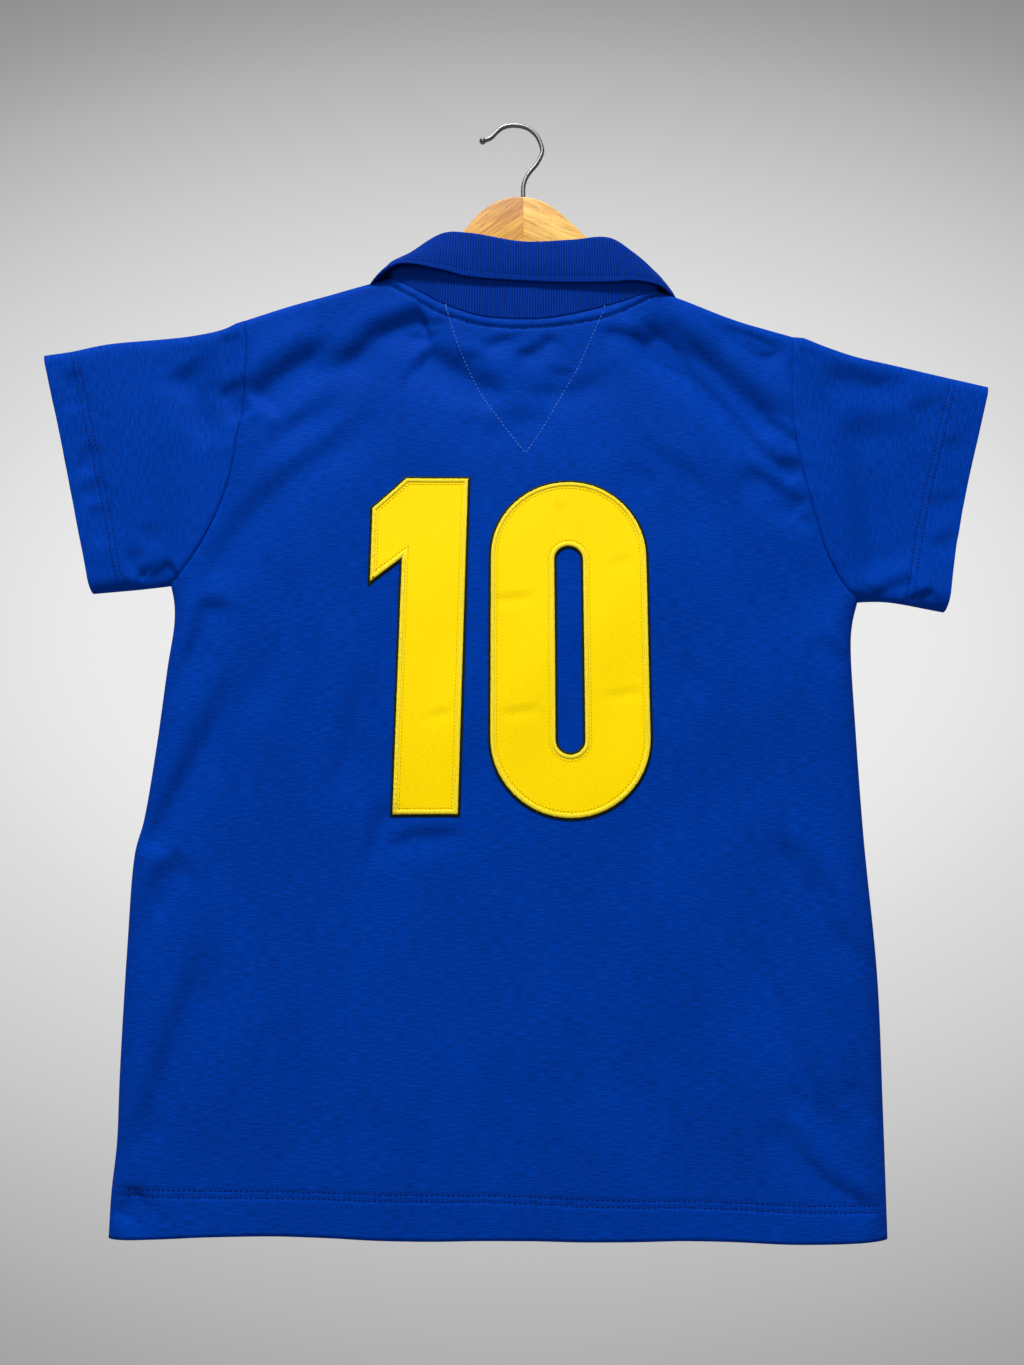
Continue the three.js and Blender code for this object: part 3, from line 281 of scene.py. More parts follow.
# The small creases between them, which fan from the seams
BACK_CREASES = (
    (2.0, 6.0, 1, 0.4, 0.4, (-133, -235), (-172, -272), (-220, -291)),
    (1.4, 5.0, 1, 0.4, 0.4, (-150, -252), (-186, -284), (-226, -322)),
    (1.8, 3.0, 1, 0.3, 0.3, (-94, -197), (-72, -200), (-52, -195)),
    (1.7, 2.6, 1, 0.2, 0.2, (-77, -186), (-68, -189), (-58, -186)),
    (2.0, 2.8, 1, 0.3, 0.3, (-29, -211), (-12, -205), (5, -201)),
    (2.6, 3.0, 1, 0.2, 0.2, (2, -220), (18, -213), (33, -198)),
    (1.6, 3.5, 1, 0.3, 0.3, (-48, -217), (-36, -220), (-24, -219)),
    (1.8, 3.2, 1, 0.3, 0.3, (29, -233), (40, -234), (51, -237)),
    (2.0, 5.0, 1, 0.3, 0.3, (0, -249), (25, -250), (52, -246), (90, -226)),
    (1.7, 6.0, 1, 0.3, 0.3, (-18, -267), (8, -273), (36, -268)),
    (1.3, 6.0, 1, 0.3, 0.3, (-48, -275), (-25, -279), (-2, -297)),
    (1.2, 2.8, 1, 0.3, 0.4, (106, -183), (130, -205), (153, -227)),
    (2.4, 2.8, 1, 0.3, 0.15, (217, -308), (226, -313), (235, -319)),
    (2.4, 3.0, 1, 0.3, 0.2, (204, -272), (222, -286), (232, -297)),
    (1.8, 4.0, 1, 0.4, 0.2, (204, -344), (224, -354), (242, -367)),
    (1.7, 5.0, 1, 0.4, 0.4, (88, -278), (120, -306), (147, -325), (165, -353)),
    (1.4, 5.0, 1, 0.4, 0.4, (90, -309), (106, -323), (126, -331)),
    (2.0, 5.0, 1, 0.4, 0.4, (-158, -425), (-166, -470), (-165, -501), (-178, -563)),
    (1.7, 5.0, 1, 0.4, 0.4, (-114, -472), (-125, -508), (-135, -560), (-148, -588)),
    (1.3, 6.0, 1, 0.4, 0.4, (-186, -440), (-196, -486), (-214, -520)),
    (2.3, 4.0, 1, 0.3, 0.3, (-99, -584), (-106, -606), (-112, -640)),
    (2.3, 3.2, 1, 0.2, 0.3, (-94, -625), (-80, -613), (-58, -611), (-32, -609)),
    (1.2, 7.0, 1, 0.4, 0.4, (-180, -740), (-188, -768), (-198, -815)),
    (3.1, 5.0, 1, 0.2, 0.2, (-270, -860), (-280, -871), (-288, -885)),
    (2.0, 3.6, 1, 0.3, 0.4, (214, -610), (230, -641), (250, -674)),
    (1.4, 4.0, 1, 0.4, 0.4, (201, -788), (210, -801), (219, -816)),
    (1.8, 4.0, 1, 0.3, 0.3, (250, -786), (256, -804), (264, -824)),
    (1.7, 4.0, 1, 0.3, 0.2, (238, -454), (252, -469), (264, -477)),
    (1.3, 5.0, 1, 0.4, 0.4, (130, -468), (146, -490), (152, -514)),
    (1.8, 4.0, -1, 0.3, 0.3, (-243, -198), (-243, -215), (-240, -242)),
    (2.2, 4.0, -1, 0.3, 0.3, (-373, -230), (-371, -250), (-369, -272)),
    (2.1, 4.0, 1, 0.3, 0.3, (-348, -294), (-352, -308), (-358, -322)),
    (2.2, 4.0, 1, 0.3, 0.3, (-336, -323), (-344, -333), (-351, -347)),
    (2.3, 4.0, -1, 0.3, 0.3, (-343, -348), (-341, -362), (-339, -388)),
    (2.2, 3.8, -1, 0.35, 0.14, (-310, -382), (-306, -402), (-297, -413)),
    (1.6, 4.0, -1, 0.4, 0.3, (-304, -366), (-298, -378), (-292, -390)),
    (2.8, 2.8, 1, 0.3, 0.2, (310, -426), (322, -424), (336, -419)),
    (1.6, 5.0, 1, 0.3, 0.4, (322, -265), (338, -262), (356, -254)),
    (1.4, 4.0, 1, 0.3, 0.3, (332, -346), (346, -343), (364, -338)),
    (1.6, 4.0, 1, 0.3, 0.3, (336, -384), (344, -378), (354, -368)),
    (1.4, 4.0, 1, 0.3, 0.3, (346, -302), (358, -294), (370, -288)),
    (0.6, 1.9, 1, 0.3, 0.3, (-22, -429), (-2, -427), (20, -424)),
    (0.6, 1.9, 1, 0.3, 0.3, (-12, -519), (4, -517), (22, -513)),
    (0.5, 1.9, 1, 0.3, 0.3, (67, -506), (84, -503), (101, -500)),
    (0.5, 1.9, 1, 0.3, 0.3, (-70, -522), (-58, -519), (-46, -515)),
    (0.5, 2.2, -1, 0.3, 0.3, (33, -348), (34, -362), (36, -378)),
    (0.4, 2.4, 1, 0.3, 0.3, (94, -392), (82, -398), (70, -404)),
)
# The hidden front hangs from the same shoulders, so it is given folds of the same kind
FRONT_FOLDS = (
    (5.2, 6.0, 1, 0.1, 0.3, (-112, -208), (-146, -222), (-176, -240), (-206, -262)),
    (5.7, 7.0, 1, 0.3, 0.06, (-170, -214), (-196, -232), (-221, -262)),
    (5.2, 6.0, 1, 0.1, 0.1, (132, -212), (160, -228), (192, -254), (227, -292)),
    (3.1, 7.0, 1, 0.3, 0.2, (-70, -300), (-120, -342), (-190, -378), (-240, -420)),
    (3.1, 7.0, 1, 0.3, 0.2, (74, -304), (126, -348), (186, -384), (236, -430)),
    (4.7, 5.5, 1, 0.5, 0.05, (-206, -480), (-224, -520), (-250, -570), (-280, -622)),
    (4.7, 5.5, 1, 0.5, 0.05, (190, -500), (212, -548), (234, -600), (261, -652)),
    (5.2, 6.0, 1, 0.4, 0.2, (-222, -690), (-238, -730), (-258, -790), (-280, -850)),
    (4.9, 6.0, 1, 0.4, 0.2, (190, -700), (212, -752), (232, -812), (258, -866)),
    (4.7, 7.0, -1, 0.2, 0.3, (-290, -238), (-276, -260), (-262, -304)),
    (4.7, 9.0, -1, 0.2, 0.3, (276, -262), (278, -310), (284, -420)),
    (3.1, 3.6, 1, 0.1, 0.2, (-300, -408), (-288, -405), (-273, -398)),
    (3.4, 4.0, 1, 0.1, 0.2, (286, -422), (304, -414), (322, -412)),
)
FRONT_CREASES = (
    (2.1, 4.0, 1, 0.3, 0.3, (-60, -268), (-88, -288), (-120, -300)),
    (1.8, 4.0, 1, 0.3, 0.3, (58, -270), (90, -292), (124, -306)),
    (1.6, 5.0, 1, 0.3, 0.3, (-34, -306), (4, -316), (40, -308)),
    (1.7, 5.0, 1, 0.4, 0.4, (-150, -262), (-186, -296), (-224, -332)),
    (1.7, 5.0, 1, 0.4, 0.2, (150, -290), (190, -318), (238, -350)),
    (1.3, 8.0, 1, 0.4, 0.4, (-60, -430), (0, -444), (60, -434)),
    (1.8, 6.0, 1, 0.3, 0.4, (-236, -430), (-250, -466), (-264, -520)),
    (1.8, 6.0, 1, 0.3, 0.4, (232, -440), (246, -478), (262, -530)),
    (1.6, 6.0, 1, 0.4, 0.4, (-150, -520), (-168, -590), (-186, -660)),
    (1.4, 6.0, 1, 0.4, 0.4, (120, -540), (142, -600), (160, -668)),
    (2.0, 18.0, 1, 0.3, 0.2, (-88, -620), (-96, -740), (-92, -890)),
    (2.0, 18.0, 1, 0.3, 0.2, (64, -610), (60, -740), (70, -890)),
    (1.8, 4.0, 1, 0.3, 0.3, (-346, -300), (-352, -312), (-358, -326)),
    (1.8, 4.0, -1, 0.3, 0.3, (-343, -350), (-341, -364), (-339, -388)),
    (1.7, 4.0, 1, 0.3, 0.3, (336, -350), (348, -344), (362, -340)),
)
# Lines of sewing on the back: the neck's top stitching, and the side seam, which has rolled there
NECK_STITCHING = (
    (-110.6, -149), (-94.5, -162.2), (-83.4, -168.7), (-70.5, -176.2), (-59.4, -182.3),
    (-37.7, -189.6), (-19.6, -193.5), (8.7, -195.6), (43.6, -192.4), (62.8, -188.8), (82, -183.6),
    (96.6, -177.3), (111.4, -169.4), (126.2, -161.5),
)
ROLLED_SEAM = (
    (263.6, -470), (263.4, -540), (264.4, -613), (268.4, -718), (266.8, -810), (265, -885),
)
HEM_STITCHING = ((-291, -863.5), (-150, -866), (0, -869), (130, -872.5), (268, -876))
HEM_ROW_GAP = 4.6
LEFT_CUFF_HEM, RIGHT_CUFF_HEM = 22.0, 27.0
CUFF_ROW_GAP = 5.0


def soft_line(rows, steps=20):
    """Points along a soft curve through the rows, with the share of its length at each."""
    given = np.array(rows, float)
    given = np.vstack([2 * given[0] - given[1], given, 2 * given[-1] - given[-2]])
    share = np.linspace(0, 1, steps, endpoint=False)[:, None]
    points = []
    for before, start, end, after in zip(given, given[1:], given[2:], given[3:]):
        a, b, c = (math.sqrt(np.linalg.norm(q - p))
                   for p, q in ((before, start), (start, end), (end, after)))
        leave = ((start - before) / a - (end - before) / (a + b) + (end - start) / b) * b
        reach = ((end - start) / b - (after - start) / (b + c) + (after - end) / c) * b
        points.append(start + leave * share + (3 * (end - start) - 2 * leave - reach) * share**2
                      + (2 * (start - end) + leave + reach) * share**3)
    points = np.vstack(points + [given[-2:-1]])
    length = run_of(points)
    return points, length / length[-1], length[-1]


def between(at, stations, points):
    """The points at some stations of a line that is given by points at others."""
    return np.stack([np.interp(at, stations, column) for column in points.T], -1)


def on_line(line, share):
    """The points at the given shares of a line's length."""
    return between(share, line[1], line[0])


def run_of(points):
    """How far along a line of points each of them is."""
    return np.concatenate([[0], np.cumsum(np.linalg.norm(np.diff(points, axis=0), axis=1))])


def unit(ways):
    """The same ways, each 1 long."""
    return ways / np.linalg.norm(ways, axis=1)[:, None]


def joined(*stretches):
    """One boundary made of several lines, each with its share of the way."""
    def at(share):
        share = np.asarray(share, float)
        start, found = 0.0, None
        for line, part, turned in stretches:
            local = np.clip((share - start) / part, 0, 1)
            point = on_line(line, 1 - local if turned else local)
            found = point if found is None else np.where((share > start)[..., None], point, found)
            start += part
        return found
    return at


def distance_to(points, x, z):
    """How far each place is from a line of points, on which side, and the line's share there."""
    start, way = points[:-1], np.diff(points, axis=0)
    long = np.maximum((way**2).sum(1), 1e-9)
    off_x, off_z = x[:, None] - start[:, 0], z[:, None] - start[:, 1]
    held = np.clip((off_x * way[:, 0] + off_z * way[:, 1]) / long, 0, 1)
    gap = np.hypot(off_x - held * way[:, 0], off_z - held * way[:, 1])
    near = gap.argmin(1)
    row = np.arange(len(x))
    side = np.sign(way[near, 0] * off_z[row, near] - way[near, 1] * off_x[row, near])
    return gap[row, near], side, (near + held[row, near]) / len(way)


def in_lots(work, x, z, lot=12000):
    """Runs work on the places a lot at a time, so that it stays small in memory."""
    parts = [work(x[i:i + lot], z[i:i + lot]) for i in range(0, len(x), lot)]
    return [np.concatenate(column) for column in zip(*parts)]


def eased(value, low, high):
    """0 below the lower value, 1 above the higher, and softly between."""
    share = np.clip((value - low) / (high - low), 0, 1)
    return share * share * (3 - 2 * share)


def from_table(rows, key, column):
    """A table's column at a key, eased between its rows; keys may fall or rise."""
    rows = sorted(rows)
    found = np.full(key.shape, float(rows[0][column]))
    for low, high in zip(rows, rows[1:]):
        step = eased(key, low[0], high[0])
        found = np.where(key > low[0], low[column] + (high[column] - low[column]) * step, found)
    return found


left_armhole, right_armhole = soft_line(LEFT_ARMHOLE), soft_line(RIGHT_ARMHOLE)
left_side, right_side = soft_line(LEFT_SIDE), soft_line(RIGHT_SIDE)
left_shoulder, right_shoulder = soft_line(LEFT_SHOULDER), soft_line(RIGHT_SHOULDER)
back_neck = soft_line(BACK_NECK)
lifted_arch = [(x, z + HANGER_CLEARANCE) for x, z in HANGER_ARCH[1:-1]]
neck_ridge = soft_line([LEFT_SHOULDER[-1], *lifted_arch, RIGHT_SHOULDER[0]])
closed_lines = [
    left_shoulder, neck_ridge, right_shoulder, left_side, right_side,
    soft_line(LEFT_SLEEVE_TOP), soft_line(RIGHT_SLEEVE_TOP), soft_line(LEFT_UNDERARM),
    soft_line(RIGHT_UNDERARM),
]
closed_lines = [on_line(line, np.linspace(0, 1, max(4, int(line[2] / 5)))) for line in closed_lines]
SHOULDER_SHARE, ARMHOLE_SHARE = 0.26, 0.33
left_edge = joined((left_armhole, ARMHOLE_SHARE, False), (left_side, 1 - ARMHOLE_SHARE, False))
right_edge = joined((right_armhole, ARMHOLE_SHARE, False), (right_side, 1 - ARMHOLE_SHARE, False))


def fold_height(rows, x, z):
    """How much the folds of a table lift or sink the cloth at each place."""
    height = np.zeros(len(x))
    for deep, wide, way, grows, dies, *line in rows:
        points = soft_line(line, 5)[0]
        low, high = points.min(0) - 7 * wide, points.max(0) + 7 * wide
        close = (x > low[0]) & (x < high[0]) & (z > low[1]) & (z < high[1])
        if not close.any():
            continue
        gap, side, at = in_lots(lambda a, b: distance_to(points, a, b), x[close], z[close])
        off = gap * side * (way if line[-1][0] < line[0][0] else -way) / wide
        fade = eased(at, 0, grows) * eased(1 - at, 0, dies)
        trough = np.exp(-((off - 1) / np.where(off < 1, 1.0, FOLD_TAIL))**2 / 2)
        ridge = np.exp(-((off + RIDGE_OFF) / RIDGE_WIDE)**2 / 2)
        height[close] += deep * fade * (RIDGE_HIGH * ridge - trough)
    return height


def sewn_relief(x, z, face):
    """The dents and puffs that the lines of sewing make."""
    def dent(line_rows, deep, deeper, wide, puff, off):
        gap, side, at = in_lots(lambda a, b: distance_to(line_rows, a, b), x, z)
        sunk = deep + (deeper - deep) * at
        return (puff * np.exp(-((gap * side - off) / PUFF_WIDE)**2)
                - sunk * np.exp(-(gap / wide)**2))

    pucker = 0.16 * np.sin(x * 0.74 + 1.3 * np.sin(x * 0.11)) + 0.1 * np.sin(x * 0.43 + 2)
    hem = soft_line(HEM_STITCHING)[0]
    row_z = np.interp(x, hem[:, 0], hem[:, 1])
    upper, lower = z - row_z, z - row_z + HEM_ROW_GAP
    height = -HEM_DENT * (np.exp(-(upper / ROW_WIDE)**2) + np.exp(-(lower / ROW_WIDE)**2))
    for cuff_rows, hem in ((LEFT_CUFF, LEFT_CUFF_HEM), (RIGHT_CUFF, RIGHT_CUFF_HEM)):
        near = x * np.sign(cuff_rows[0][0]) > 280
        if near.any():
            cuff = soft_line(cuff_rows, 4)[0]
            gap = in_lots(lambda a, b: distance_to(cuff, a, b), x[near], z[near])[0]
            for off in (hem, hem + CUFF_ROW_GAP):
                height[near] -= CUFF_DENT * np.exp(-((gap - off) / ROW_WIDE)**2)
    height += pucker * np.exp(-((z - row_z) / 9)**2) + 0.3 * eased(-lower, 0, 2)
    for line in (left_armhole, right_armhole):
        *shape, off = ARMHOLE_DENT
        height += dent(on_line(line, np.linspace(0, 1, 50)), *shape, off * np.sign(line[0][0, 0]))
    if face == BACK:
        neck = soft_line(NECK_STITCHING)[0][::4]
        height += dent(neck, *NECK_DENT)
        gap, _, _ = in_lots(lambda a, b: distance_to(neck, a, b), x, z)
        height += 1.6 * pucker * np.exp(-(gap / 7)**2)
        height += dent(soft_line(ROLLED_SEAM)[0][::4], *SIDE_DENT)
    return height


def formed(x, z, column):
    """A column of the body's table, which goes over into the sleeve's at the armholes."""
    across = np.abs(x)
    sleeve = eased(across, *ARM_ACROSS) * eased(z, *ARM_UP)
    body = from_table(BODY_FORM, z, column)
    return body + (from_table(SLEEVE_FORM, across, column) - body) * sleeve


def drift_of(x, z, face):
    """The slow, uneven waves that the whole cloth has, and the wider ones that grow to the hem."""
    wave = 1.8 * eased(-z, 640, 900) * np.sin(2 * np.pi * x / 150 + face)
    drift = (0.35 * np.sin(x * 0.051 + z * 0.023 + face) + 0.3 * np.sin(z * 0.047 - x * 0.031)
             + 0.18 * np.sin(x * 0.13 + 2.2 * np.sin(z * 0.019)))
    return wave, drift


def full_depth(x, z, face):
    """How far the cloth would stand off the middle plane if its edges weren't rounded."""
    folds = BACK_FOLDS + BACK_CREASES if face == BACK else FRONT_FOLDS + FRONT_CREASES
    wave, drift = drift_of(x, z, face)
    board_x, board_z = np.array(HANGER_LOWER[::-1]).T
    on_board = (eased(z - np.interp(x, board_x, board_z), *BOARD_EDGE)
                * eased(BOARD_END - np.abs(x), 0, 8))
    return np.maximum(formed(x, z, 1) + fold_height(folds, x, z) + wave + drift
                      + sewn_relief(x, z, face),
                      LEAST_DEPTH + (LEAST_OVER_HANGER - LEAST_DEPTH) * on_board)


def from_closed_edge(x, z):
    """How far each place is from where the back and the front meet."""
    gaps = [in_lots(lambda a, b: distance_to(line, a, b), x, z)[0] for line in closed_lines]
    return np.min(gaps, axis=0)


def cloth_depth(x, z, face):
    """How far the cloth's outer side is from the middle plane, rounded in at the closed edge."""
    rest = 1 - np.minimum(from_closed_edge(x, z) / formed(x, z, 2), 1)
    edge = SEAM_GAP / 2 + CLOTH / 2.6
    return edge + (full_depth(x, z, face) - edge) * np.sqrt(1 - rest**2)


def on_cloth(plan, face, lift=0.0):
    """Places in the middle plane, in millimetres, taken out to the cloth or off it, in metres."""
    flat = np.asarray(plan, float).reshape(-1, 2)
    x, z = flat[:, 0], flat[:, 1]
    depth = cloth_depth(x, z, face)
    points = np.stack([x, face * depth, z], -1)
    if np.any(lift):
        step = 0.5
        east = (cloth_depth(x + step, z, face) - cloth_depth(x - step, z, face)) / (2 * step)
        north = (cloth_depth(x, z + step, face) - cloth_depth(x, z - step, face)) / (2 * step)
        normal = unit(np.stack([-east, np.full(len(x), float(face)), -north], -1))
        points += normal * np.reshape(lift, (-1, 1))
    return (points * MM).reshape(*np.shape(plan)[:-1], 3)


def spread(top, bottom, left, right, u, v):
    """Places spread over the area between four boundaries."""
    along, down = np.meshgrid(u, v)
    u3, v3 = along[..., None], down[..., None]
    corners = (top(0.0) * (1 - u3) * (1 - v3) + top(1.0) * u3 * (1 - v3)
               + bottom(0.0) * (1 - u3) * v3 + bottom(1.0) * u3 * v3)
    return (left(down) * (1 - u3) + right(down) * u3 + top(along) * (1 - v3) + bottom(along) * v3
            - corners)


def crowded(reach, steps):
    """Stations that crowd towards 0, where the cloth turns round its edge."""
    return reach * (1 - np.cos(np.linspace(0, math.pi / 2, steps + 1)))


def both_ends(low, high, steps, crowd=0.75):
    """Stations from low to high that crowd towards both."""
    share = np.linspace(0, 1, steps + 1)
    return low + (high - low) * (share - crowd * np.sin(2 * np.pi * share) / (2 * np.pi))


def place(made, material):
    """Puts a finished mesh object in the scene, with its material, and lets it ride on the body."""
    made.data.materials.append(material)
    bpy.context.scene.collection.objects.link(made)
    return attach(made, "root")


def thickened(made, name, thick):
    """Gives a sheet its thickness, inwards from its outer side."""
    wall = made.modifiers.new(name, "SOLIDIFY")
    wall.thickness = thick * MM
    wall.offset = -1
    return wall


def shell(name, points, pattern, thick, material, turned=None, closed=False, out=None):
    """A thin shell of cloth on a grid of points: thick goes inwards, turned marks doubled hems."""
    rows, columns = points.shape[:2]
    build = bmesh.new()
    bmesh.ops.create_grid(build, x_segments=columns - 1, y_segments=rows - 1, size=1.0)
    build.verts.ensure_lookup_table()
    spot = [(round((v.co.y + 1) / 2 * (rows - 1)), round((v.co.x + 1) / 2 * (columns - 1)))
            for v in build.verts]
    weave = build.loops.layers.uv.new("weave")
    folded = build.verts.layers.deform.new()
    for face in build.faces:
        for loop in face.loops:
            loop[weave].uv = pattern[spot[loop.vert.index]]
    for corner, (i, j) in zip(build.verts, spot):
        corner.co = points[i, j]
        if turned is not None:
            corner[folded][0] = turned[i, j]
    if closed:
        bmesh.ops.remove_doubles(build, verts=build.verts, dist=2e-5)
    build.normal_update()
    facing = sum((f.normal.dot(out(f.calc_center_median())) for f in build.faces), 0.0)
    if facing < 0:
        bmesh.ops.reverse_faces(build, faces=build.faces)
    made = place(smooth_object(build, name), material)
    wall = thickened(made, "cloth", thick)
    if turned is not None:
        made.vertex_groups.new(name="turned")
        wall.vertex_group = "turned"
        wall.thickness_vertex_group = 0.5
    return made


def group_of(name, inputs, outputs):
    """A shader node group with named inputs and outputs."""
    made = bpy.data.node_groups.new(name, "ShaderNodeTree")
    for label, kind, value in inputs:
        socket = made.interface.new_socket(label, in_out="INPUT", socket_type=kind)
        if value is not None:
            socket.default_value = value
    for label, kind in outputs:
        made.interface.new_socket(label, in_out="OUTPUT", socket_type=kind)
    return made, made.nodes.new("NodeGroupInput"), made.nodes.new("NodeGroupOutput")


# Uneven yarn: short streaks along the cloth's rows, darker and lighter than its colour
yarn, given, result = group_of(
    "uneven_yarn",
    (("Pattern", "NodeSocketVector", None), ("Colour", "NodeSocketColor", (1, 1, 1, 1)),
     ("Streaks", "NodeSocketFloat", 0.2), ("Long", "NodeSocketFloat", 60.0),
     ("Fine", "NodeSocketFloat", 1200.0)),
    (("Colour", "NodeSocketColor"), ("Height", "NodeSocketFloat")),
)
given = given.outputs
stretch = node(yarn, "ShaderNodeCombineXYZ", given["Long"], given["Fine"], 1.0)
scaled = node(yarn, "ShaderNodeVectorMath", given["Pattern"], stretch.outputs[0],
              operation="MULTIPLY")
slub = node(yarn, "ShaderNodeTexNoise", scaled.outputs[0], Scale=1.0, Detail=3.0, Roughness=0.6)
cloud = node(yarn, "ShaderNodeTexNoise", given["Pattern"], Scale=14.0, Detail=2.0, Roughness=0.5)
swing, drift = (
    node(yarn, "ShaderNodeMapRange", noise.outputs[0], From_Min=0.3, From_Max=0.7, To_Min=-most,
         To_Max=most).outputs[0]
    for noise, most in ((slub, 1.0), (cloud, 0.2))
)
total = node(yarn, "ShaderNodeMath", swing, drift, operation="ADD")
amount = node(yarn, "ShaderNodeMath", total.outputs[0], given["Streaks"], 1.0,
              operation="MULTIPLY_ADD")
tint = node(yarn, "ShaderNodeVectorMath", given["Colour"], operation="SCALE",
            Scale=amount.outputs[0])
fed(result, Colour=tint.outputs[0], Height=slub.outputs[0])


def relief(tree, height, strength, distance):
    """The normal that fine relief of some height gives."""
    return node(tree, "ShaderNodeBump", Strength=strength, Distance=distance,
                Height=height).outputs[0]


def woven(name, colour, streaks, long, fine, bump, pattern_scale, direction, **values):
    """A cloth material: uneven yarn in its colour, and fine relief that runs with the weave."""
    made, tree, shader = surface(name, **values)
    uv = node(tree, "ShaderNodeUVMap", uv_map="weave").outputs[0]
    threads = node(tree, "ShaderNodeGroup", node_tree=yarn, Colour=colour, Streaks=streaks,
                   Long=long, Fine=fine, Pattern=uv).outputs
    ribs = node(tree, "ShaderNodeTexWave", uv, Scale=pattern_scale, Distortion=0.3, Detail=1.0,
                bands_direction=direction)
    both = node(tree, "ShaderNodeMath", ribs.outputs["Fac"], 0.3, threads["Height"],
                operation="MULTIPLY_ADD")
    fed(shader, Base_Color=threads["Colour"], Normal=relief(tree, both.outputs[0], bump, 0.0005))
    return made


JERSEY_BLUE = (0.0006, 0.036, 0.31, 1)
knit = woven("blue_knit", JERSEY_BLUE, 0.33, 115.0, 1100.0, 0.16, 400.0,
             "X", Roughness=0.6, Specular_IOR_Level=0.02,
             Specular_Tint=(0.02, 0.2, 1.0, 1))

hem_line = soft_line(BACK_HEM)
panel_sides = np.concatenate([crowded(0.046, 12), np.linspace(0.046, SHOULDER_SHARE, 31)[1:]])
back_columns = np.concatenate([
    panel_sides, both_ends(SHOULDER_SHARE, 1 - SHOULDER_SHARE, 94)[1:], 1 - panel_sides[:-1][::-1],
])
panel_rows = np.concatenate([
    crowded(0.016, 14), both_ends(0.016, ARMHOLE_SHARE, 96, 0.5)[1:],
    np.linspace(ARMHOLE_SHARE, 0.945, 110)[1:], np.linspace(0.945, 0.98, 26)[1:],
    np.linspace(0.98, 1, 6)[1:],
])
back_top = joined((left_shoulder, SHOULDER_SHARE, False),
                  (back_neck, 1 - 2 * SHOULDER_SHARE, False),
                  (right_shoulder, SHOULDER_SHARE, False))
back_plan = spread(back_top, lambda u: on_line(hem_line, u), left_edge, right_edge, back_columns,
                   panel_rows)


def hem_doubled(plan):
    """Where the cloth is doubled: below the upper row of the hem's stitches."""
    row_z = np.interp(plan[..., 0], *zip(HEM_STITCHING[0], HEM_STITCHING[-1]))
    return eased(row_z - plan[..., 1], 0, 3)


def panel(name, plan, face):
    """A panel of the body, with its hem doubled."""
    return shell(name, on_cloth(plan, face), plan * MM, 2 * CLOTH, knit,
                 turned=hem_doubled(plan), out=lambda at: Vector((0, face, 0)))


back_panel = panel("back_panel", back_plan, BACK)
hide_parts("back")

# The front panel: the same cloth, with a V neck. The photograph hides it, so it is finished
# plainly, with folds like the back's.
FRONT_NECK_LEFT = ((6, -287), (-30, -253), (-62, -215), (-88, -174), (-98.5, -152), (-102, -145.3))
FRONT_NECK_RIGHT = ((121, -157.5), (116.5, -164.5), (104, -186), (76, -222), (42, -256), (6, -287))
FRONT_HEM = (
    (-291.3, -898.7), (-180, -899.5), (60, -900.5), (150, -902.5), (200, -905.2), (246, -904.6),
    (268.6, -899.5),
)
front_neck_left, front_neck_right = soft_line(FRONT_NECK_LEFT), soft_line(FRONT_NECK_RIGHT)
half_neck = 0.5 - SHOULDER_SHARE
front_top = joined((left_shoulder, SHOULDER_SHARE, False), (front_neck_left, half_neck, True),
                   (front_neck_right, half_neck, True), (right_shoulder, SHOULDER_SHARE, False))
neck_half_columns = both_ends(SHOULDER_SHARE, 0.5, 36, 0.7)[1:]
front_columns = np.unique(np.concatenate([
    panel_sides, neck_half_columns, 1 - neck_half_columns[:-1][::-1], 1 - panel_sides[:-1][::-1],
    [1 - SHOULDER_SHARE],
]))
front_rows = np.concatenate([
    crowded(0.016, 9), both_ends(0.016, ARMHOLE_SHARE, 64, 0.5)[1:],
    np.linspace(ARMHOLE_SHARE, 1, 121)[1:],
])
front_hem_line = soft_line(FRONT_HEM)
front_plan = spread(front_top, lambda u: on_line(front_hem_line, u), left_edge, right_edge,
                    front_columns, front_rows)
front_panel = panel("front_panel", front_plan, FRONT)
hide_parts("front")

# The sleeves: each a tube of the same knit, set into its armhole, with a turned and twin-stitched
# hem. The knit runs across the arm, so its streaks stand upright here.
SLEEVE_SETTING = 0.06
# Half of the way round the sleeve and the way along it, in metres, for the pattern of its cloth
SLEEVE_CLOTH = (0.22, 0.13)
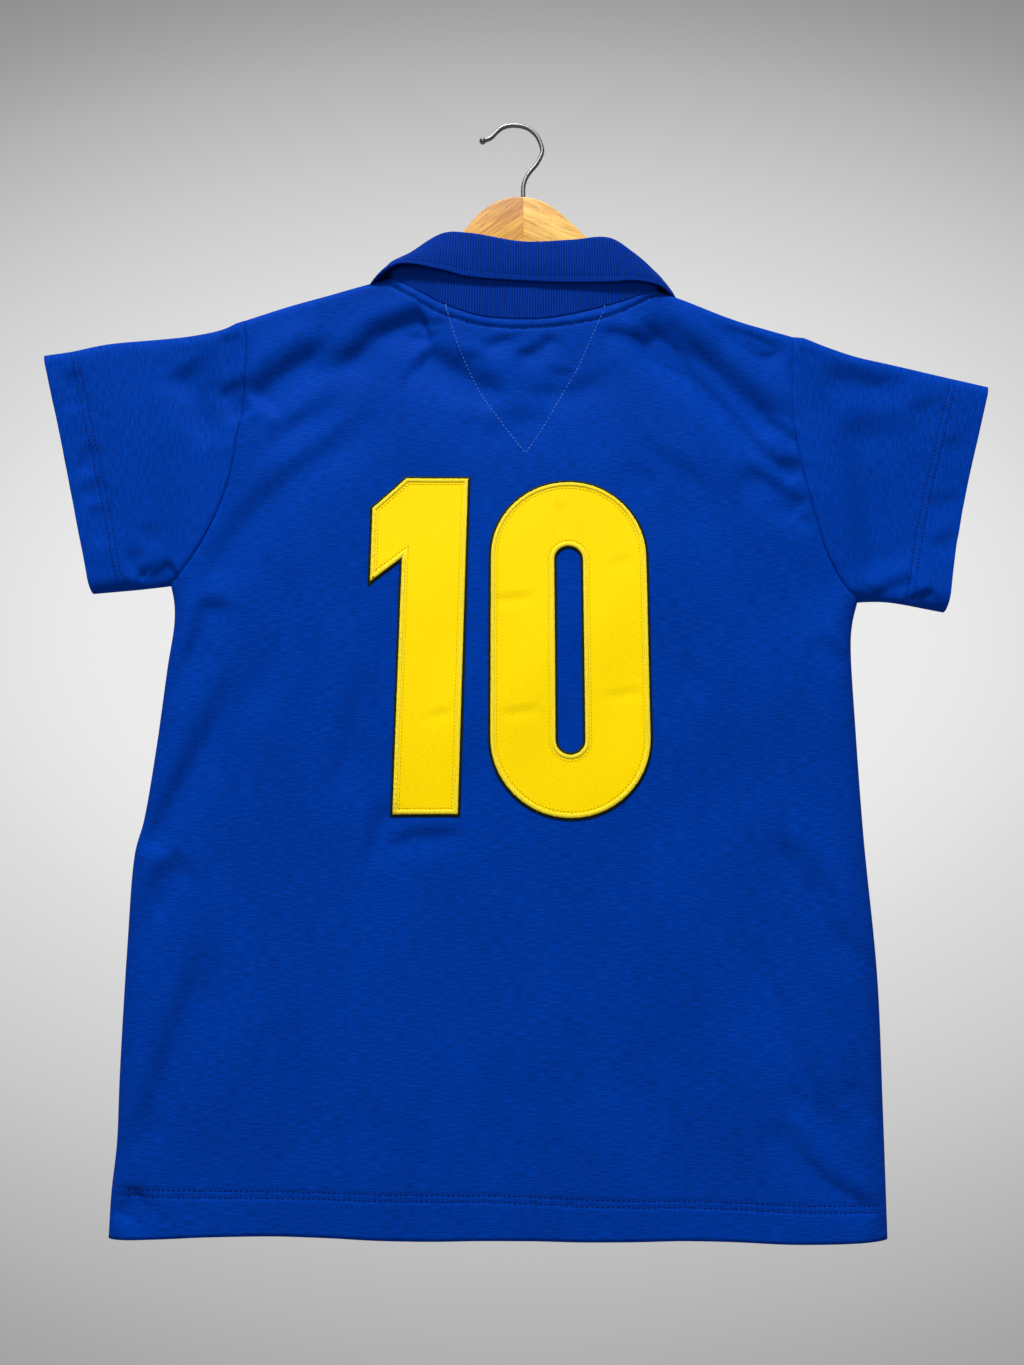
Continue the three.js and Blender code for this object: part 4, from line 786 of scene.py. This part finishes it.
# name, armhole, top, underarm, cuff, depth of its hem
SLEEVES = (
    ("left", left_armhole, LEFT_SLEEVE_TOP, LEFT_UNDERARM, LEFT_CUFF, LEFT_CUFF_HEM),
    ("right", right_armhole, RIGHT_SLEEVE_TOP, RIGHT_UNDERARM, RIGHT_CUFF, RIGHT_CUFF_HEM),
)
around = 0.5 - 0.5 * np.cos(np.linspace(0, math.pi, 86))
out_along = np.concatenate([np.linspace(0, 0.55, 32), np.linspace(0.55, 1, 64)[1:]])
cuff_lines = {}
for side_name, armhole, top_rows, lower_rows, cuff_rows, hem_depth in SLEEVES:
    top_line, lower_line, cuff = soft_line(top_rows), soft_line(lower_rows), soft_line(cuff_rows)
    cuff_lines[side_name] = cuff
    set_in = np.array([SLEEVE_SETTING * np.sign(top_rows[0][0]), 0.0])
    plan = spread(
        lambda v: on_line(armhole, v) + set_in, lambda v: on_line(cuff, v),
        lambda s: on_line(top_line, s) + set_in * (1 - np.asarray(s)[..., None]),
        lambda s: on_line(lower_line, s) + set_in * (1 - np.asarray(s)[..., None]),
        around, out_along,
    )
    ring = np.concatenate([on_cloth(plan, BACK), on_cloth(plan, FRONT)[:, ::-1]], axis=1)
    down = np.concatenate([around, 2 - around[::-1]]) * SLEEVE_CLOTH[0]
    pattern = np.stack(np.meshgrid(down, out_along * SLEEVE_CLOTH[1]), -1)
    flat_plan = np.concatenate([plan, plan[:, ::-1]], axis=1)
    gap = distance_to(on_line(cuff, np.linspace(0, 1, 30)), flat_plan[..., 0].ravel(),
                      flat_plan[..., 1].ravel())[0].reshape(flat_plan.shape[:2])
    sleeve = shell(f"sleeve_cloth_{side_name}", ring, pattern, 2 * CLOTH, knit,
                   turned=eased(hem_depth + CUFF_ROW_GAP - gap, 0, 3), closed=True,
                   out=lambda at: Vector((0, at.y, 0)))
    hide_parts(f"sleeve_{side_name}")

# The collar: one strip of ribbed knit, sewn round the neck, standing up and folded over.
# Its rows run up the left front, across the back and down the right front.
RIB_CLOTH = 1.8
COLLAR_BEND = 2.2
# Place along the neck seam, way it faces in degrees, lift off the seam, top of its stand, edge of
# its fall; 0 to 1 is the left front, 1 to 2 the back, and 2 to 3 the right front
COLLAR = (
    (0.03, 90, 0.9, (2.4, 13.4, -279), (-24, 16, -322)),
    (0.35, 90, 1.4, (-30, 13, -242), (-79, 14.4, -272)),
    (0.7, 90, 1.4, (-70, 12, -190), (-118, 12.6, -214)),
    (0.9, 100, 1.2, (-95, 11.5, -151), (-129, 12.6, -174)),
    (0.96, 135, 2.2, (-102, 8, -143), (-132, 9.5, -164)),
    (1, 180, 2.2, (-105, 0, -142), (-126, -1, -161)),
    (1.035, 225, 2.2, (-101.5, -7, -139), (-115, -12.5, -151.5)),
    (1.1, 258, 0.6, (-86, -8.5, -130.5), (-96, -17, -141.5)),
    (1.2, 270, 0.55, (-59, -11.5, -114.5), (-63, -15.8, -145.5)),
    (1.3, 270, 0.55, (-38, -12.5, -115), (-39, -14.7, -151.5)),
    (1.5, 270, 0.55, (8, -12.5, -123), (8, -14.5, -155.5)),
    (1.68, 270, 0.55, (48, -12.5, -121.5), (48, -14.5, -157)),
    (1.82, 270, 0.55, (80, -12.5, -119.5), (82, -14.5, -156.5)),
    (1.9, 278, 0.6, (98, -11.5, -131), (103, -15.5, -156)),
    (1.96, 305, 1.8, (114, -8.5, -145), (124, -13, -160)),
    (2, 360, 2.2, (123.5, 0, -151), (139.5, 0, -168)),
    (2.04, 405, 2.2, (121, 8, -152.5), (143, 9.5, -172)),
    (2.1, 440, 1.3, (113, 11.5, -164), (146, 12.6, -188)),
    (2.3, 450, 1.4, (88, 12, -200), (134, 12.8, -229)),
    (2.65, 450, 1.4, (46, 13, -244), (93, 14.6, -276)),
    (2.97, 450, 0.9, (9.6, 13.4, -279), (36, 16, -322)),
)
collar_steps = 13 * (len(COLLAR) - 1)
progress = np.linspace(0, len(COLLAR) - 1, collar_steps + 1)
row_of = np.arange(len(COLLAR))
seam_at, turn, lift = (np.interp(progress, row_of, column) for column in [*zip(*COLLAR)][:3])
turn = np.radians(turn)


def rail(points):
    """A soft line in space through the rows' own points, read at the collar's stations."""
    line = soft_line(points)[0]
    at = progress / (len(COLLAR) - 1) * (len(line) - 1)
    return between(at, np.arange(len(line)), line)


stand, fall = rail([row[3] for row in COLLAR]), rail([row[4] for row in COLLAR])
seam_plan = np.where(
    (seam_at < 1)[:, None], on_line(front_neck_left, np.clip(seam_at, 0, 1)),
    np.where((seam_at <= 2)[:, None], on_line(back_neck, np.clip(seam_at - 1, 0, 1)),
             on_line(front_neck_right, np.clip(seam_at - 2, 0, 1))),
)
on_back = (seam_at >= 1) & (seam_at <= 2)
sewn = np.where(on_back[:, None], on_cloth(seam_plan, BACK, -CLOTH / 2),
                on_cloth(seam_plan, FRONT, -CLOTH / 2)) / MM
way_up = unit(stand - sewn)
way_out = np.stack([np.cos(turn), np.sin(turn), np.zeros(len(turn))], -1)
foot = sewn + way_up * (np.minimum(lift, 0.8) - 0.5)[:, None]
up_stand = np.append([0, 0.015], np.linspace(0, 1, 10)[1:])
lines = [foot + (stand - foot) * share + way_out * math.sin(math.pi * share) for share in up_stand]
for angle in np.linspace(0, math.pi, 9)[1:]:
    lines.append(stand + COLLAR_BEND * (way_up * math.sin(angle) + way_out * (1 - math.cos(angle))))
over = lines[-1]
lines += [over + (fall - over) * share + 0.9 * way_out * math.sin(math.pi * share)
          for share in np.append(np.linspace(0, 1, 14)[1:-1], [0.98, 1])]
collar_points = np.stack(lines, 1) * MM
down_collar, round_collar = run_of(collar_points[collar_steps // 2]), run_of(collar_points[:, 10])
collar_pattern = np.stack(np.meshgrid(down_collar, round_collar), -1)[..., ::-1]
RIB_BLUE = (0.0012, 0.032, 0.3, 1)
rib, tree, shader = surface("blue_rib", Roughness=0.65, Specular_IOR_Level=0.04,
                            Specular_Tint=(0.1, 0.25, 1.0, 1))
uv = node(tree, "ShaderNodeUVMap", uv_map="weave").outputs[0]
threads = node(tree, "ShaderNodeGroup", node_tree=yarn, Colour=RIB_BLUE, Streaks=0.1, Long=700.0,
               Fine=90.0, Pattern=uv)
ribs = node(tree, "ShaderNodeTexWave", uv, Scale=148.0, bands_direction="X", Distortion=0.3,
            Detail=1.0, Detail_Scale=30.0).outputs["Fac"]
across_strip = node(tree, "ShaderNodeSeparateXYZ", uv)
# The rib lies flatter in a narrow strip along the free edge
edge_strip = float(down_collar[-1]) - 0.0055
plain_edge = node(tree, "ShaderNodeMapRange", across_strip.outputs["Y"], From_Min=edge_strip,
                  From_Max=edge_strip + 0.0004, To_Min=1.0, To_Max=0.15)
ribbed = node(tree, "ShaderNodeMath", ribs, plain_edge.outputs[0], operation="MULTIPLY")
# The rib's grooves are painted darker and its crowns lighter than the yarn: painted shade and
# highlight
deeper = node(tree, "ShaderNodeMapRange", ribs, To_Min=0.55, To_Max=1.15)
rib_shaded = node(tree, "ShaderNodeVectorMath", threads.outputs["Colour"], operation="SCALE",
              Scale=deeper.outputs[0])
fed(shader, Base_Color=rib_shaded.outputs[0], Normal=relief(tree, ribbed.outputs[0], 0.7, 0.0006))
COLLAR_MIDDLE = 0.009
rib_collar = shell("rib_collar", collar_points, collar_pattern, RIB_CLOTH, rib,
                   out=lambda at: Vector((at.x - COLLAR_MIDDLE, 6 * at.y, 0)))
rib_collar.modifiers["cloth"].offset = 0
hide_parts("collar")

# The numerals: yellow twill, cut to shape, laid on the back and edged with a satin stitch.
ONE = ((-112.6, -354.4), (-86, -329.6), (-37.2, -330), (-43, -597), (-91.4, -597), (-88, -394),
       (-112.8, -414))
# middle, half its width, top and bottom of the ring and of its hole
ZERO = (43.6, 61.0, -333.0, -600.0)
ZERO_HOLE = (43.6, 12.0, -385.0, -553.0)
NUMBER_LIFT = 1.15
NUMBER_CLOTH = 0.8
GRID_STEP = 3.0


def round_ended(middle, half, top, bottom, steps):
    """A ring with straight sides and half-round ends, anticlockwise as seen from behind."""
    turns = np.linspace(0, math.pi, steps + 1)
    upper = [(middle + half * math.cos(t), top - half + half * math.sin(t)) for t in turns]
    lower = [(middle - half * math.cos(t), bottom + half - half * math.sin(t)) for t in turns]
    return upper + lower


def loop_of(build, points):
    """A closed loop of edges through points in the middle plane."""
    corners = [build.verts.new((x, 0, z)) for x, z in points]
    return corners, [build.edges.new((a, b)) for a, b in zip(corners, corners[1:] + corners[:1])]


def cut_cloth(name, outline, hole, material):
    """A flat piece of twill cut to an outline, scored into small squares and laid on the back."""
    build = bmesh.new()
    corners, edge = loop_of(build, outline)
    if hole:
        _, inner = loop_of(build, hole)
        bmesh.ops.bridge_loops(build, edges=edge + inner)
    else:
        build.faces.new(corners)
    xs, zs = [x for x, _ in outline], [z for _, z in outline]
    for values, axis in ((xs, 0), (zs, 2)):
        for at in np.arange(min(values) + GRID_STEP / 2, max(values), GRID_STEP):
            point, normal = [0, 0, 0], [0, 0, 0]
            point[axis], normal[axis] = at, 1
            bmesh.ops.bisect_plane(build, geom=[*build.verts, *build.edges, *build.faces],
                                   plane_co=point, plane_no=normal, dist=1e-4)
    weave = build.loops.layers.uv.new("weave")
    for face in build.faces:
        for loop in face.loops:
            loop[weave].uv = (loop.vert.co.x * MM, loop.vert.co.z * MM)
    plan = np.array([(v.co.x, v.co.z) for v in build.verts])
    for corner, point in zip(build.verts, on_cloth(plan, BACK, NUMBER_LIFT)):
        corner.co = point
    build.normal_update()
    if sum(f.normal.y for f in build.faces) > 0:
        bmesh.ops.reverse_faces(build, faces=build.faces)
    made = place(smooth_object(build, name), material)
    thickened(made, "twill", NUMBER_CLOTH)
    return made


TWILL_YELLOW = (1.0, 0.71, 0.0, 1)
twill = woven("yellow_twill", TWILL_YELLOW, 0.05, 250.0, 900.0, 0.3, 420.0,
              "DIAGONAL", Roughness=0.6, Specular_IOR_Level=0.3,
              Specular_Tint=(1.0, 0.8, 0.1, 1))
zero_outline, zero_hole = round_ended(*ZERO, 28), round_ended(*ZERO_HOLE, 28)
numeral_one = cut_cloth("numeral_one", ONE, None, twill)
numeral_zero = cut_cloth("numeral_zero", zero_outline, zero_hole, twill)
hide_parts("digit_one")
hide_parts("digit_zero")

# The satin stitch round each numeral: close yellow thread, wrapped over the twill's cut edge.
SATIN_WIDE = 3.2
SATIN_HIGH = 0.55
SATIN_OUTSIDE = 0.5
SATIN_SHADOW_FOOT = 2.5
SATIN_THICK = 0.3
STITCH_LINE = 4.3


def leftwards(way):
    """The ways turned a quarter to the left."""
    return np.stack([-way[:, 1], way[:, 0]], -1)


def walked(outline, step):
    """Points a step apart round a closed outline, corners kept, each with the way to its left."""
    points, ways = [], []
    ring = np.array(outline, float)
    count = len(ring)
    edge = np.roll(ring, -1, axis=0) - ring
    left = leftwards(unit(edge))
    for i in range(count):
        corner = left[i] + left[i - 1]
        corner /= max(0.35, np.dot(corner, left[i]))
        points.append(ring[i])
        ways.append(corner)
        pieces = int(np.linalg.norm(edge[i]) // step)
        for k in range(1, pieces):
            points.append(ring[i] + edge[i] * k / pieces)
            ways.append(left[i])
    return np.array(points), np.array(ways)


def satin_edge(name, outline, inward, material):
    """A raised band of satin stitch along a closed outline, with the cloth on its inward side and a
    low foot outside, painted dark as shadow.
    """
    points, ways = walked(outline, 1.6)
    profile = np.linspace(0, math.pi, 7)
    offsets = np.append([-SATIN_SHADOW_FOOT - 0.2, -SATIN_SHADOW_FOOT, -0.65],
                        SATIN_WIDE / 2 * (1 - np.cos(profile)) - SATIN_OUTSIDE)
    heights = np.append([0.0, 0.5, 0.8], NUMBER_LIFT + SATIN_HIGH * np.sin(profile))
    number = np.arange(len(points))
    jitter = 0.14 * np.sin(number * 2.4) + 0.08 * np.sin(number * 5.1)
    grid = np.stack([
        on_cloth(points + ways * inward * (offset + jitter[:, None] * 0.6), BACK, height)
        for offset, height in zip(offsets, heights)
    ], 0)
    grid = np.concatenate([grid, grid[:, :1]], axis=1)
    pattern = np.stack(np.meshgrid(run_of(grid[5]), offsets * MM), -1)
    return shell(name, grid, pattern, SATIN_THICK, material, closed=True,
                 out=lambda at: Vector((0, -1, 0)))


satin, tree, shader = surface("yellow_satin", Roughness=0.5, Specular_IOR_Level=0.2,
                              Specular_Tint=(1.0, 0.8, 0.1, 1))
uv = node(tree, "ShaderNodeUVMap", uv_map="weave").outputs[0]
wraps = node(tree, "ShaderNodeTexWave", uv, Scale=330.0, bands_direction="X",
             Distortion=0.6).outputs["Fac"]
# Each wrap of thread is painted lighter on its crown and darker between wraps: painted highlight
# and shade
wrap_sheen = node(tree, "ShaderNodeMix", data_type="RGBA", Factor=wraps, A=(0.9, 0.64, 0.005, 1),
               B=(1.0, 0.84, 0.06, 1))
# The low foot outside the satin is painted near black: a painted shadow where the satin meets the
# back
across = node(tree, "ShaderNodeSeparateXYZ", uv)
foot_painted_shadow = node(tree, "ShaderNodeMapRange", across.outputs["Y"], From_Min=-0.0006,
                  From_Max=-0.00045)
shadowed_satin = node(tree, "ShaderNodeMix", data_type="RGBA", Factor=foot_painted_shadow.outputs[0],
             A=(0.008, 0.018, 0.01, 1), B=wrap_sheen.outputs["Result"])
fed(shader, Base_Color=shadowed_satin.outputs["Result"], Normal=relief(tree, wraps, 0.6, 0.0004))
# Each outline, with 1 where the cloth of its numeral is on its left
NUMBER_EDGES = (
    ("satin_one", ONE, -1),
    ("satin_zero_outside", zero_outline, 1),
    ("satin_zero_inside", zero_hole, -1),
)
satin_pieces = [satin_edge(name, outline, inward, satin) for name, outline, inward in NUMBER_EDGES]

# The sewing: each thread runs over the cloth for a stitch and dips into it before the next.
FRONT_NECK_ROW = 8.0
# Share of a stitch's length, how thick it is there and how far it stands off the cloth
STITCH = (
    (0.0, 0.15, -0.45), (0.12, 0.75, -0.04), (0.5, 1.0, 0.1), (0.88, 0.75, -0.04),
    (0.99, 0.15, -0.45),
)


def stitched(name, rows, length, gap, thick, material):
    """Threads along rows of points in space, with the way out of the cloth at each."""
    build = bmesh.new()
    shares, sizes, heights = (np.array(column) for column in zip(*STITCH))
    turns = np.linspace(0, 2 * math.pi, 7)[:, None]
    for points, outs in rows:
        walk = run_of(points)
        count = int(walk[-1] / MM / (length + gap))
        at = ((np.arange(count) * (length + gap))[:, None] + shares * length).ravel() * MM
        radius = np.tile(sizes * thick * MM, count)
        radius[[0, -1]] = 0
        centre, out = between(at, walk, points), between(at, walk, outs)
        way = unit(np.gradient(centre, axis=0))
        centre = centre + out * np.tile(heights * MM, count)[:, None]
        side = np.cross(way, out)
        rings = (centre[:, None] + radius[:, None, None]
                 * (out[:, None] * np.cos(turns) + side[:, None] * np.sin(turns)))
        tube = bmesh.ops.create_grid(build, x_segments=6, y_segments=len(at) - 1, size=1.0)["verts"]
        for corner in tube:
            i = round((corner.co.y + 1) / 2 * (len(at) - 1))
            corner.co = rings[i, round((corner.co.x + 1) * 3)]
    bmesh.ops.remove_doubles(build, verts=build.verts, dist=1e-7)
    bmesh.ops.recalc_face_normals(build, faces=build.faces)
    return place(smooth_object(build, name), material)


def thread_row(plan, face, lift=0.12):
    """A row of places on the cloth, with the way out of it."""
    low, high = on_cloth(plan, face, lift), on_cloth(plan, face, lift + 1)
    return low, (high - low) / MM


def evenly_along(rows, step=4.0, low=0.0, high=1.0):
    """Points about a step apart along a soft line, from one share of its length to another."""
    line = soft_line(rows)
    return on_line(line, np.linspace(low, high, max(3, int(line[2] * (high - low) / step))))


def thread(name, colour):
    """Sewing thread, unevenly dyed."""
    made, tree, shader = surface(name, Roughness=0.6, Specular_IOR_Level=0.1)
    where = node(tree, "ShaderNodeTexCoord").outputs["Object"]
    speck = node(tree, "ShaderNodeTexNoise", where, Scale=900.0, Detail=1.0)
    vary = node(tree, "ShaderNodeMix", data_type="RGBA", Factor=speck.outputs[0],
                A=[c * 0.7 for c in colour[:3]] + [1], B=colour)
    fed(shader, Base_Color=vary.outputs["Result"])
    return made


blue_thread = thread("blue_thread", (0.0003, 0.009, 0.1, 1))
pale_thread = thread("pale_blue_thread", (0.12, 0.3, 0.85, 1))
yellow_thread = thread("yellow_thread", (0.66, 0.4, 0.0, 1))
V_LINES = (
    ((-56, -178), (-47, -208), (-34, -238), (-19, -266), (9.6, -307)),
    ((9.9, -306.5), (24.5, -283), (39, -256), (52, -234), (65, -203), (75.5, -179)),
)
V_TACKS = (((-57, -174), (-55.6, -179.5)), ((76.2, -175), (75.4, -179.5)))
neck_rows = [thread_row(evenly_along(NECK_STITCHING), BACK)]
v_rows = [thread_row(evenly_along(line), BACK, 0.2) for line in V_LINES]
tack_rows = [thread_row(evenly_along(line, 1.5), BACK, 0.3) for line in V_TACKS]
hem_rows = [
    thread_row(evenly_along([(x, z - lower) for x, z in HEM_STITCHING], 5.0, 0.006, 0.994), face)
    for face in (BACK, FRONT) for lower in (0.0, HEM_ROW_GAP)
]
cuff_rows = []
for side_name, _, _, _, _, hem_depth in SLEEVES:
    edge = on_line(cuff_lines[side_name], np.linspace(0.012, 0.988, 46))
    inward = leftwards(unit(np.gradient(edge, axis=0)))
    inward *= -np.sign(edge[0, 0]) * np.sign(inward[0, 0])
    for off in (hem_depth, hem_depth + CUFF_ROW_GAP):
        for face in (BACK, FRONT):
            cuff_rows.append(thread_row(edge + inward * off, face))
front_neck_rows = []
for line in (front_neck_left, front_neck_right):
    edge = on_line(line, np.linspace(0.03, 0.97, 40))
    outward = leftwards(unit(np.gradient(edge, axis=0)))
    front_neck_rows.append(thread_row(edge + outward * FRONT_NECK_ROW, FRONT))
number_rows = []
for _, outline, inward in NUMBER_EDGES:
    points, ways = walked(outline, 3.0)
    ring = points + ways * inward * STITCH_LINE
    number_rows.append(thread_row(np.vstack([ring, ring[:1]]), BACK, NUMBER_LIFT + 0.05))
# name, rows, length of a stitch, gap to the next, how thick the thread is, thread, slot
SEWING = (
    ("neck_stitching", neck_rows, 2.4, 0.8, 0.36, blue_thread, "jersey_cloth"),
    ("v_stitching", v_rows, 2.6, 0.9, 0.24, pale_thread, "jersey_cloth"),
    ("v_tacks", tack_rows, 2.2, 0.2, 0.42, pale_thread, "jersey_cloth"),
    ("hem_stitching", hem_rows, 2.6, 1.1, 0.36, blue_thread, "jersey_cloth"),
    ("cuff_stitching", cuff_rows, 2.6, 1.1, 0.38, blue_thread, "jersey_cloth"),
    ("front_neck_stitching", front_neck_rows, 2.4, 0.8, 0.28, blue_thread, "jersey_cloth"),
    ("number_stitching", number_rows, 2.2, 0.7, 0.24, yellow_thread, "number_cloth"),
)
for name, rows, long, gap, thick, material, slot in SEWING:
    stitched(name, rows, long, gap, thick, material)

# The hanger: two halves of pale varnished wood with rounded edges, glued at a mitre under the hook.
# The grain slants up to the right in the left half and down to the right in the other.
HANGER_THICK = 12.0
HANGER_ROUND = 2.0
MITRE_X = 8.3
MITRE_GAP = 0.12
SHARP_ANGLE = 0.7
lowered = [
    [(x, z - HANGER_CLEARANCE) for x, z in rows[1:-1]] for rows in (LEFT_SHOULDER, RIGHT_SHOULDER)
]
HANGER_UPPER = [(-219, -185.5), *lowered[0], *HANGER_ARCH, *lowered[1], (226, -201)]
hanger_top, hanger_bottom = soft_line(HANGER_UPPER), soft_line(HANGER_LOWER)
hanger_outline = np.vstack([on_line(hanger_top, np.linspace(0, 1, 90)),
                            on_line(hanger_bottom, np.linspace(0, 1, 60))])

# Wood grain: long soft bands, fine dark fibres and short pores, along the pattern's own X
grain, given, result = group_of(
    "wood_grain",
    (("Pattern", "NodeSocketVector", None), ("Light", "NodeSocketColor", (0.7, 0.4, 0.14, 1)),
     ("Dark", "NodeSocketColor", (0.5, 0.24, 0.06, 1))),
    (("Colour", "NodeSocketColor"), ("Height", "NodeSocketFloat")),
)
given = given.outputs
# along and across the grain, detail, from, to, least, most
GRAIN_LAYERS = (
    (14.0, 130.0, 4.0, 0.35, 0.65, 0.0, 1.0),
    (45.0, 700.0, 2.0, 0.3, 0.7, -0.45, 0.45),
    (90.0, 700.0, 1.0, 0.62, 0.72, 1.0, 0.55),
)
layers = []
for along, across, detail, low, high, least, most in GRAIN_LAYERS:
    stretch = node(grain, "ShaderNodeMapping", given["Pattern"], Scale=(along, across, across))
    texture = node(grain, "ShaderNodeTexNoise", stretch.outputs[0], Scale=1.0, Detail=detail,
                   Distortion=0.4)
    layers.append(node(grain, "ShaderNodeMapRange", texture.outputs[0], From_Min=low,
                       From_Max=high, To_Min=least, To_Max=most).outputs[0])
bands, fibres, pores = layers
blend = node(grain, "ShaderNodeMath", bands, fibres, operation="ADD", use_clamp=True)
colours = node(grain, "ShaderNodeMix", data_type="RGBA", Factor=blend.outputs[0],
               A=given["Light"], B=given["Dark"])
pored = node(grain, "ShaderNodeVectorMath", colours.outputs["Result"], operation="SCALE",
             Scale=pores)
fed(result, Colour=pored.outputs[0], Height=pores)


def varnished(name, slant, light, dark):
    """Varnished wood whose grain slants by an angle in degrees."""
    made, tree, shader = surface(name, Roughness=0.5, Specular_IOR_Level=0.3, Coat_Weight=0.06,
                                 Coat_Roughness=0.3)
    where = node(tree, "ShaderNodeTexCoord").outputs["Object"]
    turned = node(tree, "ShaderNodeMapping", where, Rotation=(0, math.radians(slant), 0))
    fill = node(tree, "ShaderNodeGroup", node_tree=grain, Light=light, Dark=dark,
                Pattern=turned.outputs[0]).outputs
    fed(shader, Base_Color=fill["Colour"], Normal=relief(tree, fill["Height"], 0.15, 0.0002))
    return made


def hanger_half(name, side, material):
    """The arched board, sawn off square at the mitre, with its long edges rounded."""
    build = bmesh.new()
    corners = [build.verts.new((x * MM, -HANGER_THICK / 2 * MM, z * MM)) for x, z in hanger_outline]
    front = build.faces.new(corners)
    grown = bmesh.ops.extrude_face_region(build, geom=[front])["geom"]
    bmesh.ops.translate(build, verts=[g for g in grown if isinstance(g, bmesh.types.BMVert)],
                        vec=(0, HANGER_THICK * MM, 0))
    bmesh.ops.recalc_face_normals(build, faces=build.faces)
    rims = [e for e in build.edges if abs(e.verts[0].co.y - e.verts[1].co.y) < 1e-6]
    bmesh.ops.bevel(build, geom=rims, offset=HANGER_ROUND * MM, affect="EDGES", segments=6,
                    profile=0.5, material=-1, clamp_overlap=True)
    cut = bmesh.ops.bisect_plane(
        build, geom=[*build.verts, *build.edges, *build.faces], dist=1e-7,
        plane_co=((MITRE_X + side * MITRE_GAP / 2) * MM, 0, 0), plane_no=(-side, 0, 0),
        clear_outer=True,
    )
    rim = [g for g in cut["geom_cut"] if isinstance(g, bmesh.types.BMEdge)]
    bmesh.ops.edgenet_fill(build, edges=rim)
    bmesh.ops.recalc_face_normals(build, faces=build.faces)
    for edge in build.edges:
        edge.smooth = edge.calc_face_angle(0) < SHARP_ANGLE
    return place(smooth_object(build, name), material)


wood_left = varnished("honey_wood_left", 38.0, (0.76, 0.38, 0.045, 1), (0.42, 0.15, 0.008, 1))
wood_right = varnished("honey_wood_right", -24.0, (0.9, 0.54, 0.11, 1), (0.6, 0.28, 0.03, 1))
half_left = hanger_half("hanger_half_left", -1, wood_left)
half_right = hanger_half("hanger_half_right", 1, wood_right)
for piece, carried in ((half_left, "hanger_left"), (half_right, "hanger_right")):
    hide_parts(carried)

# The hook: round, brushed steel wire, bent over the rail, with a small ball at its tip.
WIRE = (
    (-26.9, -13.2), (-22.1, -11.5), (-19, -9.5), (-14.1, -3.9), (-8.1, 0.6), (1, 2.1), (12, -0.5),
    (20, -7.9), (24, -16.9), (25, -23.6), (20.9, -34.3), (11.9, -47.1), (8.8, -56), (8.3, -67),
    (8.3, -82), (8.3, -95),
)
WIRE_RADIUS = 1.9
BALL_RADIUS = 2.9
BALL_NECK = 3.6
WIRE_STATIONS = 110
wire_line = soft_line(WIRE)
tip = np.linspace(0, math.pi * 0.78, 9)
along_wire = np.concatenate([BALL_RADIUS * (1 - np.cos(tip)) - BALL_RADIUS,
                             np.linspace(BALL_NECK, wire_line[2], WIRE_STATIONS)])
radii = np.concatenate([BALL_RADIUS * np.sin(tip), np.full(WIRE_STATIONS, WIRE_RADIUS)])
radii[0] = 0.05
build = bmesh.new()
last_ring = None
for run, radius in zip(along_wire, radii):
    share = max(run, 0) / wire_line[2]
    x, z = on_line(wire_line, share)
    ahead = on_line(wire_line, min(share + 0.004, 1)) - on_line(wire_line, max(share - 0.004, 0))
    way = Vector((ahead[0], 0, ahead[1])).normalized()
    centre = Vector((x, 0, z)) + way * min(run, 0)
    flat = Matrix((way.cross(Vector((0, 1, 0))), Vector((0, 1, 0)), -way)).transposed().to_4x4()
    ring = bmesh.ops.create_circle(build, cap_ends=False, segments=20, radius=radius * MM,
                                   matrix=Matrix.Translation(centre * MM) @ flat)["verts"]
    ring_edges = list({e for v in ring for e in v.link_edges})
    if last_ring:
        bmesh.ops.bridge_loops(build, edges=last_ring + ring_edges)
    last_ring = ring_edges
bmesh.ops.holes_fill(build, edges=[e for e in build.edges if e.is_boundary], sides=0)
bmesh.ops.recalc_face_normals(build, faces=build.faces)
steel, tree, shader = surface("polished_steel", Base_Color=(0.17, 0.17, 0.17, 1), Metallic=1.0)
where = node(tree, "ShaderNodeTexCoord").outputs["Object"]
scratch = node(tree, "ShaderNodeTexNoise", where, Scale=90.0, Detail=2.0)
polish = node(tree, "ShaderNodeMapRange", scratch.outputs[0], To_Min=0.38, To_Max=0.46)
fed(shader, Roughness=polish.outputs[0])
wire_hook = place(smooth_object(build, "wire_hook"), steel)
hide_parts("hook")
